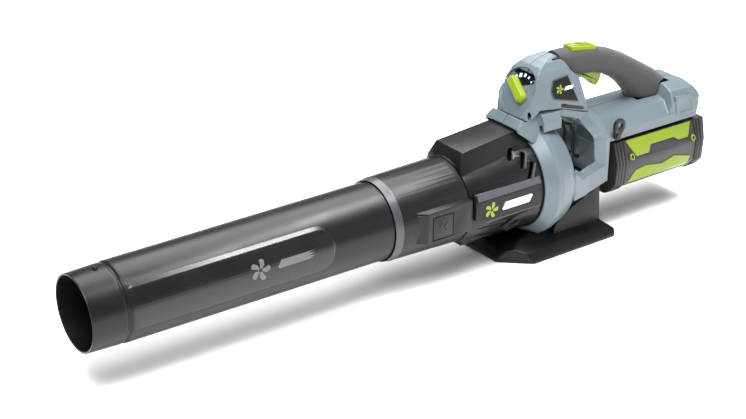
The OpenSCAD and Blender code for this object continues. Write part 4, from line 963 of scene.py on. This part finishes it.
@dataclass
class FanUnit:
    """Fan housing with what turns and guides the air in it."""

    rounding_mm: float = 1.0
    seam_x: float = -146.5
    plate_x: Flat = (-143.5, -37.5)
    plate_y: float = 61.5
    # The housing flares from its seam: radius there, growth, and the length that it grows over
    seam_r: float = 55.5
    flare: float = 7.7
    flare_run: float = 111.5
    # Each slat's turn in degrees from the top, and its x
    slat_spots: tuple[Flat, ...] = ((30, -68.5), (44, -57.5), (58, -51.5), (118, -86.5), (130, -74.5))
    slat_size: Point = (21, 2.0, 2.2)
    slat_lean: float = -58.0
    slat_shift: float = 4.2
    icon_at: Flat = (-120.0, 1.0)
    bar_at: Flat = (-79.0, 1.0)

    def plate(self, side: int) -> bpy.types.Mesh:
        """Badge plate on one side, shaped over the housing."""
        front, rear = self.plate_x
        y = self.plate_y
        section = [(-y + 8, 24), (-y + 4, 25), (-y, 16), (-y, -14), (-y + 5, -22), (-y + 12, -22)]
        cut = [(front, 26), (rear, 24), (rear, -24), (front + 18, -20), (front, -8)]
        body = combined(prism(section, "X", front, rear, "plate"),
                        prism(cut, "Y", -y - 1, -40, "cut"), "INTERSECT")
        start, end = self.seam_r, self.seam_r + self.flare
        core = lathed([(1.0, self.seam_x - 1), (start + 0.2, self.seam_x - 1), (end + 0.25, rear + 3),
                       (1.0, rear + 3)], "core", 96)
        body = combined(body, core, "DIFFERENCE")
        body = rounded_mesh("badge_plate", body, 1.1)
        return body if side < 0 else mirrored(body, "badge_plate")

    def slats(self) -> bpy.types.Mesh:
        """Raised slats beside the air slots of the housing."""
        rows = []
        for turn, x in self.slat_spots:
            base = self.seam_r + (x - self.seam_x) * self.flare / self.flare_run
            for side in (-1, 1):
                bm = bmesh.new()
                bmesh.ops.create_cube(bm, size=1.0)
                bm.transform(Matrix.Translation((0, 0, FAN_AXIS_Z))
                             @ Matrix.Rotation(math.radians(-side * turn), 4, "X")
                             @ Matrix.Translation((x * MM, 0, (base + 0.2) * MM))
                             @ Matrix.Rotation(math.radians(side * self.slat_lean), 4, "Z")
                             @ Matrix.Translation((0, self.slat_shift * MM * side, 0))
                             @ Matrix.Diagonal((*(size * MM for size in self.slat_size), 1)))
                rows.append(as_mesh("slat", bm))
        return joined(rows, "inlet_slats")

    def plate_trim(self, side: int) -> None:
        """Mid-grey strips of painted highlight on the bevels, dark face, fan icon and bar of one badge plate.
        """
        front, rear = self.plate_x
        y = self.plate_y
        node = "badge_plate_left" if side < 0 else "badge_plate_right"
        word = node.removeprefix("badge_plate_")
        # Painted highlight: mid-grey strips along the plate's top bevel and its lower edge
        upper = [(-y + 3.6, 24.6), (-y - 0.1, 16.3), (-y + 0.5, 16.0), (-y + 4.2, 24.3)]
        lower = [(-y - 0.15, -13.0), (-y - 0.15, -13.9), (-y + 0.4, -14.0), (-y + 0.4, -13.0)]
        bevel_highlight = joined([prism(upper, "X", front + 3, rear - 4, "strip"),
                       prism(lower, "X", front + 14, rear - 3, "strip")], "badge_bevel_highlight")
        face = prism([(front + 4, 14.2), (rear - 3.5, 14.2), (rear - 3.5, -12), (front + 17, -12),
                      (front + 4, -6)], "Y", -y - 0.12, -y + 0.6, "badge_face")
        icon = joined([prism(moved(q, self.icon_at), "Y", -y - 0.5, -y, "icon") for q in fan_icon(10.5)],
                      "icon")
        bar = prism(moved(lozenge(48, 10, 5), self.bar_at), "Y", -y - 0.5, -y, "bar")
        for name, mesh, finish in (("bevel_highlight", bevel_highlight, Finish.HIGHLIGHT_AND_TRIM_GREY), ("face", face, Finish.GLOSS_WINDOW),
                                   ("icon", icon, Finish.LIME_ABS), ("bar", bar, Finish.PRINT_WHITE)):
            if side > 0:
                mesh = mirrored(mesh, name)
            place(f"badge_{name}_{word}", mesh, finish, node)

    def build(self) -> None:
        """Makes every piece of the fan unit."""
        round_over("fan_housing", Finish.HOUSING_NYLON, self.rounding_mm)
        for side, word in ((-1, "left"), (1, "right")):
            node = f"badge_plate_{word}"
            place(f"{node}_moulded", self.plate(side), Finish.CHARCOAL_NYLON, node, [node])
            self.plate_trim(side)
        place("inlet_slats", self.slats(), Finish.HIGHLIGHT_AND_TRIM_GREY, "fan_housing")
        dress(Finish.HOUSING_NYLON, "flow_liner", "stator_vanes", "nose_cone", "impeller")
        round_over("inlet_bell", Finish.BLACK_PBT, 0.5, 2)
        dress(Finish.COPPER, "motor_stator")
        dress(Finish.GROUND_STEEL, "motor_bearings", "motor_shaft", "impeller_nut")
        dress(Finish.TURNED_STEEL, "motor_rotor")


@dataclass
class BodyShells:
    """Shroud ring, arms, deck and rear block, in two halves."""

    voxel_mm: float = 1.0
    passes: int = 5
    window: tuple[Flat, ...] = ((9, 26), (9, 84), (13, 82), (40, 73), (50, 54), (52, 27), (54, 17), (26, 12),
                                (16, 19))
    rim: tuple[Flat, ...] = ((9, 22), (9, 89), (13, 91), (49, 80), (63, 57), (66, 27), (67, 12), (26, 4),
                             (11, 16))
    pad: tuple[Flat, ...] = ((199, 70), (230, 66.5), (238, 41), (205, 42))
    recess: tuple[Flat, ...] = ((204, 66), (228, 62.6), (233, 45), (209, 46))

    @staticmethod
    def side_y(x: float, z: float) -> float:
        """Half width of the shells' side at a point, in millimetres."""
        def along(rows: Sequence[Flat], at: float) -> float:
            """Straight-line value between rows."""
            for (a, p), (b, q) in zip(rows, rows[1:]):
                if at <= b:
                    return p + (q - p) * max(0.0, (at - a) / (b - a))
            return rows[-1][1]
        plan = along(((-24.5, 78), (5, 70), (39.5, 62.5), (73, 61)), x)
        height = along(((-70, 48), (-12, 78), (26, 78), (50, 61), (66, 46), (90, 34), (97, 20)), z)
        return min(plan, height)

    def bezel(self, side: int) -> bpy.types.Mesh:
        """Sloped rim round the big side window."""
        def finer(rows: Sequence[Flat]) -> list[Flat]:
            """Outline from the top round the rear, with each edge cut in eight."""
            return [(a[0] + (b[0] - a[0]) * k / 8, a[1] + (b[1] - a[1]) * k / 8)
                    for a, b in zip(rows[1:], rows[2:]) for k in range(9)]
        rings = []
        for (x, z), (u, w) in zip(finer(self.rim), finer(self.window)):
            out, deep = self.side_y(x, z), self.side_y(u, w)
            rings.append([(x, side * (out - 0.2), z + AXIS_MM), (u, side * (deep - 6.5), w + AXIS_MM),
                          (u, side * (deep - 9.5), w + AXIS_MM), (x, side * (out - 4.6), z + AXIS_MM)])
        bm = opened(lofted(rings, "bezel"))
        bmesh.ops.remove_doubles(bm, verts=bm.verts[:], dist=1e-6)
        return as_mesh("bezel", bm)

    def ring(self, side: int) -> bpy.types.Mesh:
        """One half of the shroud ring's smooth outer band."""
        skin = [(64.6, -37.4), (66.2, -37.4), (66.9, -36.9), (77.1, -25.2), (77.4, -24.5), (77.3, -23.6),
                (76.6, -15.0), (72.5, -1.0), (68.7, 8.4), (68.2, 9.2), (67.4, 9.4), (65.4, 9.4),
                (68.2, -1.5), (73.0, -15.4), (74.2, -24.0)]
        return split_off(lathed(skin, "ring", 200), Vector((0, 0, 0)), Vector((0, -side, 0)), "ring")

    def pads(self, side: int) -> bpy.types.Mesh:
        """Raised pad on the rear block, with a shallow recess."""
        plate = prism(self.pad, "Y", -47.5, -44.0, "pad")
        inner = prism(self.recess, "Y", -48.0, -46.8, "recess")
        plate = combined(plate, inner, "DIFFERENCE")
        return plate if side < 0 else mirrored(plate, "pad")

    def outside_ring(self) -> bpy.types.Mesh:
        """Space round the shroud ring, up to where the head's collar meets it."""
        skin = [(64.4, -38.0), (65.4, -36.4), (75.9, -24.3), (75.3, -15.0), (71.2, -1.5), (67.2, 9.1)]
        space = lathed([*skin, (130.0, 9.1), (130.0, -38.0)], "space", 160)
        collar = prism([(-60, 55), (20, 55), (20, 160), (-60, 160)], "Y", -38.5, 38.5, "collar")
        return combined(space, collar, "DIFFERENCE")

    def build(self) -> None:
        """Makes both shells and their screws."""
        space = self.outside_ring()
        for side, word in ((-1, "left"), (1, "right")):
            node = f"body_shell_{word}"
            low, high = (-90, -28) if side < 0 else (28, 90)
            cut = combined(frame["nodes"][node].data, prism(self.rim, "Y", low, high, "cut"), "DIFFERENCE")
            cut = combined(cut, space.copy(), "DIFFERENCE")
            place(f"shroud_ring_{word}", self.ring(side), Finish.GREY_ABS, node)
            place(f"block_pad_{word}", rounded_mesh("pad", self.pads(side), 0.6), Finish.GREY_ABS, node)
            mesh = cast(joined([cut, self.bezel(side)], node), self.voxel_mm, self.passes)
            place(f"{node}_moulded", mesh, Finish.GREY_ABS, node, [node])
        dress(Finish.BLACK_STEEL, "body_screws")


@dataclass
class Head:
    """Head with its windows, vents, dial and board."""

    tilt: float = 58.4
    foot: Flat = (-47.2, 90.0)
    dial_up: float = 31.6
    dial_rest: float = 59.0
    # Width of the dial's lever, and how far its end circles lie from the axis
    lever_w: float = 14.4
    lever_reach: float = 13.8
    # Side window: (x, z) outline, its middle, and where the icon and the bar sit
    window: tuple[Flat, ...] = ((-0.2, 131), (24.8, 133), (40.8, 96), (-0.2, 107), (-4.2, 117))
    window_mid: Flat = (19.0, 117.5)
    icon_at: Flat = (10.5, 117.5)
    bar_at: Flat = (25.5, 117.0)
    voxel_mm: float = 0.8
    passes: int = 5

    def on_face(self, up: float, across: float, out: float) -> Point:
        """Point counted from the dial's axis on the head's face."""
        c, d = math.cos(math.radians(self.tilt)), math.sin(math.radians(self.tilt))
        u = up + self.dial_up
        return (self.foot[0] + u * c - out * d, -across, self.foot[1] + u * d + out * c + AXIS_MM)

    def lever(self) -> bpy.types.Mesh:
        """Dial lever: a rounded bar with a raised back."""
        rest, half = math.radians(self.dial_rest), self.lever_w / 2
        rings = []
        for out, shrink in ((1.0, 1.2), (1.15, 0.4), (1.5, 0.0), (6.2, 0.2), (7.4, 0.8), (7.8, 2.0),
                            (8.4, 2.2), (9.2, 2.6), (9.7, 3.4), (9.8, 4.6)):
            ring = []
            for k in range(48):
                a = math.tau * k / 48
                reach = self.lever_reach if math.cos(a) >= 0 else -self.lever_reach
                p = reach + (half - shrink) * math.copysign(abs(math.cos(a)) ** 0.8, math.cos(a))
                q = (half - shrink) * math.copysign(abs(math.sin(a)) ** 0.8, math.sin(a))
                up, across = turned(p, q, rest)
                ring.append(self.on_face(up, -across, out))
            rings.append(ring)
        hub = [[self.on_face(u, v, h) for u, v in circle(r, 32)]
               for r, h in ((3.0, -12.0), (3.0, -3.0), (4.5, -3.0), (4.5, 1.2))]
        return joined([lofted(rings, "lever"), lofted(hub, "hub")], "speed_dial_moulded")

    def side_badge(self, side: int, node: str) -> None:
        """Mid-grey frame, black panel, fan icon and bar on one side of the head."""
        middle = self.window_mid

        def layer(outline: Sequence[Flat], out: float) -> bpy.types.Mesh:
            """Thin plate that leans with the head's side."""
            return lofted([[(x, side * (33 - (z - 95) * 0.1515 + h), z + AXIS_MM) for x, z in outline]
                           for h in (-0.9, out)], "layer")

        def sized(share: float) -> list[Flat]:
            """Window outline, scaled about its middle."""
            return [(middle[0] + (x - middle[0]) * share, middle[1] + (z - middle[1]) * share)
                    for x, z in self.window]

        icon = joined([layer(moved(q, self.icon_at), 0.3) for q in fan_icon(6.0)], "icon")
        bar = layer(moved(lozenge(15, 4.4, 2.4), self.bar_at), 0.3)
        for name, mesh, finish in (("frame", layer(sized(1.0), 0.05), Finish.HIGHLIGHT_AND_TRIM_GREY),
                                   ("panel", layer(sized(0.93), 0.15), Finish.GLOSS_WINDOW),
                                   ("icon", icon, Finish.LIME_ABS), ("bar", bar, Finish.PRINT_WHITE)):
            place(f"{node}_{name}", mesh, finish, node)

    def marks(self) -> bpy.types.Mesh:
        """Scale marks that grow from low to high."""
        rows = []
        for i in range(5):
            turn, half = math.radians(44 - 22 * i), 0.9 + 0.35 * i
            flat = [(19.6 - i, -half), (21.8, -half), (21.8, half), (19.6 - i, half)]
            rows.append(lofted([[self.on_face(*turned(p, q, turn), h) for p, q in flat]
                                for h in (0.3, 0.85)], "mark"))
        return joined(rows, "scale_marks")

    def build(self) -> None:
        """Makes every piece of the head."""
        for side, word in ((-1, "left"), (1, "right")):
            node = f"head_shell_{word}"
            mesh = cast(frame["nodes"][node].data, self.voxel_mm, self.passes)
            place(f"{node}_moulded", mesh, Finish.GREY_ABS, node, [node])
            round_over(f"badge_window_{word}", Finish.GLOSS_WINDOW, 0.4)
            self.side_badge(side, f"badge_window_{word}")
        rear = prism([(30.6, 137.4), (43.4, 125.6), (54.6, 90), (57.4, 79.5), (59.2, 79.8), (56.6, 90.6),
                      (45.2, 127), (31.8, 139.2)], "Y", -22.5, 22.5, "rear")
        place("head_rear_trim", rounded_mesh("head_rear_trim", rear, 0.6), Finish.BLACK_PBT, "handle_core")
        round_over("vent_grilles", Finish.BLACK_PBT, 0.4, 2)
        dress(Finish.GLOSS_WINDOW, "scale_window")
        place("scale_marks", self.marks(), Finish.PRINT_WHITE, "scale_window")
        place("speed_dial_moulded", self.lever(), Finish.LIME_ABS, "speed_dial", ["speed_dial"])
        dress(Finish.BLUE_SLEEVE, "dial_potentiometer")
        dress(Finish.SOLDER_MASK, "control_board")


@dataclass
class Handle:
    """Grip with its controls."""

    voxel_mm: float = 0.8
    passes: int = 14

    def build(self) -> None:
        """Makes every piece of the handle."""
        dress(Finish.BLACK_PBT, "handle_core")
        grip = cast(frame["nodes"]["grip_overmould"].data, self.voxel_mm, self.passes)
        place("grip_overmould_moulded", grip, Finish.SOFT_GRIP, "grip_overmould", ["grip_overmould"])
        round_over("trigger", Finish.LIME_ABS, 1.6)
        round_over("turbo_button", Finish.LIME_ABS, 1.2)
        dress(Finish.GROUND_STEEL, "trigger_pin", "trigger_spring", "turbo_spring")
        dress(Finish.BLACK_PBT, "trigger_switch", "turbo_switch")


@dataclass
class StrapHook:
    """Eyelet for a shoulder strap."""

    def build(self) -> None:
        """Makes the eyelet and its screw."""
        round_over("strap_eyelet", Finish.BLACK_PBT, 0.9)
        round_over("eyelet_screw", Finish.BLACK_STEEL, 0.3, 2)


@dataclass
class Foot:
    """Foot that the machine stands on."""

    def build(self) -> None:
        """Makes the foot and its screws."""
        round_over("foot", Finish.BLACK_PP, 1.8)
        dress(Finish.BLACK_STEEL, "foot_screws")


@dataclass
class BatteryBay:
    """What carries and feeds the pack."""

    def build(self) -> None:
        """Makes the rails, the terminals, the latch and the cables."""
        for node in ("terminal_block", "battery_rails", "battery_latch"):
            round_over(node, Finish.BLACK_PBT, 0.6, 2)
        dress(Finish.GROUND_STEEL, "battery_latch_pin", "battery_latch_spring")
        dress(Finish.CABLE_PVC, "power_cables")


@dataclass
class BatteryPack:
    """Slide-in pack."""

    stud_x: Flat = (120.0, 231.0)
    rib_x: tuple[float, ...] = (97.0, 102.5, 108.0, 240.0, 245.0)
    rib_width: float = 2.6
    rib: tuple[Flat, ...] = ((-33, -45.5), (-44.4, -38.5), (-54.5, -26.3), (-56.6, 2.1), (-46.5, 30.2),
                             (-45.2, 29.6), (-55.0, 2.0), (-53.0, -25.6), (-43.4, -37.2), (-33, -44.0))
    # (radius, height) outlines of a stud's rim and of the core in it
    stud_rim: tuple[Flat, ...] = ((4.2, 1.0), (4.2, 3.4), (3.8, 3.75), (3.1, 3.8), (2.7, 3.4), (2.7, 1.0))
    stud_core: tuple[Flat, ...] = ((2.6, 1.0), (2.6, 2.9), (2.2, 3.2), (0.4, 3.2), (0.4, 1.0))

    def studs(self, outline: Sequence[Flat]) -> bpy.types.Mesh:
        """Oval studs turned from an outline of (radius, height) points."""
        rows = []
        for side in (-1, 1):
            out = Vector((0, side * 0.9455, 0.3256))
            for x in self.stud_x:
                start = Vector((x, side * 52.7, 7 + AXIS_MM))
                up = out.cross(Vector((1, 0, 0)))
                rings = [[start + out * h + Vector((0.78 * r * math.cos(math.tau * k / 40), 0, 0))
                          + up * r * math.sin(math.tau * k / 40) for k in range(40)] for r, h in outline]
                rows.append(lofted(rings, "stud", closed=True))
        return joined(rows, "studs")

    def build(self) -> None:
        """Makes every piece of the pack."""
        round_over("pack_case", Finish.PACK_PC, 1.4)
        round_over("pack_front_cap", Finish.PACK_PC, 1.4)
        round_over("pack_rear_cap", Finish.PACK_PC, 1.6)
        round_over("pack_panels_upper", Finish.LIME_ABS, 0.8)
        round_over("pack_panels_lower", Finish.LIME_ABS, 0.8)
        place("pack_studs_moulded", self.studs(self.stud_rim), Finish.LIME_ABS, "pack_studs", ["pack_studs"])
        bands = []
        for x in self.rib_x:
            rib = rounded_mesh("rib", prism(self.rib, "X", x, x + self.rib_width, "rib"), 0.5, 2)
            bands += [rib, mirrored(rib, "rib")]
        place("pack_cap_ribs", joined(bands[:6], "ribs"), Finish.BLACK_PBT, "pack_front_cap")
        place("pack_tail_ribs", joined(bands[6:], "ribs"), Finish.BLACK_PBT, "pack_rear_cap")
        place("pack_stud_cores", self.studs(self.stud_core), Finish.BLACK_PBT, "pack_studs")
        dress(Finish.BLUE_SLEEVE, "pack_cells")
        dress(Finish.IVORY_ABS, "pack_cell_frames")
        dress(Finish.PLATED_BRASS, "pack_contacts")


# ---- studio --------------------------------------------------------------------------


@dataclass
class Studio:
    """Floor, lights and camera."""

    eye: Point = (-1.25557, -1.39903, 0.92204)
    azimuth: float = -35.64
    elevation: float = 25.40
    lens_mm: float = 77.2
    lights: dict[str, tuple[Point, Flat, float]] = field(default_factory=lambda: {
        "key_softbox": ((-0.95, -0.55, 1.7), (1.1, 1.1), 52.0),
        "top_softbox": ((0.35, 0.7, 1.7), (1.4, 1.4), 44.0),
        "strip": ((0.37, -0.29, 1.5), (0.9, 0.14), 26.0),
        "side_fill": ((1.3, -1.5, 0.7), (1.0, 1.0), 5.0),
    })

    def camera(self) -> None:
        """Makes the camera that looks from the front left."""
        a, e = math.radians(self.azimuth), math.radians(self.elevation)
        back = Vector((math.sin(a) * math.cos(e), -math.cos(a) * math.cos(e), math.sin(e)))
        data = bpy.data.cameras.new("camera")
        data.lens = self.lens_mm
        data.sensor_width = 36.0
        data.clip_end = 50.0
        obj = linked("camera", data)
        obj.location = self.eye
        obj.rotation_mode = "QUATERNION"
        obj.rotation_quaternion = (-back).to_track_quat("-Z", "Y")
        bpy.context.scene.camera = obj

    def light(self) -> None:
        """Makes soft lamps round the machine and a pale surround."""
        target = Vector((-0.2, 0.0, 0.1))
        for name, (at, size, watts) in self.lights.items():
            data = bpy.data.lights.new(name, "AREA")
            data.shape = "RECTANGLE"
            data.size, data.size_y = size
            data.energy = watts
            obj = linked(name, data)
            obj.location = at
            obj.rotation_mode = "QUATERNION"
            obj.rotation_quaternion = (target - Vector(at)).to_track_quat("-Z", "Y")
        world = bpy.data.worlds.new("pale_surround")
        world.use_nodes = True
        ground = world.node_tree.nodes["Background"]
        ground.inputs["Color"].default_value = linear("#ffffff")
        ground.inputs["Strength"].default_value = 0.32
        bpy.context.scene.world = world
        bpy.context.scene.view_settings.view_transform = "Standard"

    def floor(self) -> None:
        """Makes the pale floor."""
        bm = bmesh.new()
        bmesh.ops.create_grid(bm, x_segments=8, y_segments=8, size=6.0)
        mesh = as_mesh("floor", bm)
        material, _, shader = start_material("floor_pale_paper")
        shader.inputs["Base Color"].default_value = linear("#ffffff")
        shader.inputs["Roughness"].default_value = 0.9
        mesh.materials.append(material)
        obj = linked("floor", mesh)
        obj.location = (0.0, 0.0, -0.0005)

    def build(self) -> None:
        """Makes the whole studio."""
        self.camera()
        self.light()
        self.floor()


def main() -> None:
    """Builds the blower piece by piece over its frame."""
    logging.basicConfig(level=logging.INFO)
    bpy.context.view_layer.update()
    Studio().build()
    for unit in (BlowerTube(), FanUnit(), BodyShells(), Head(), Handle(), StrapHook(), Foot(),
                 BatteryBay(), BatteryPack()):
        unit.build()
    bpy.context.view_layer.update()


if __name__ == "__main__":
    main()
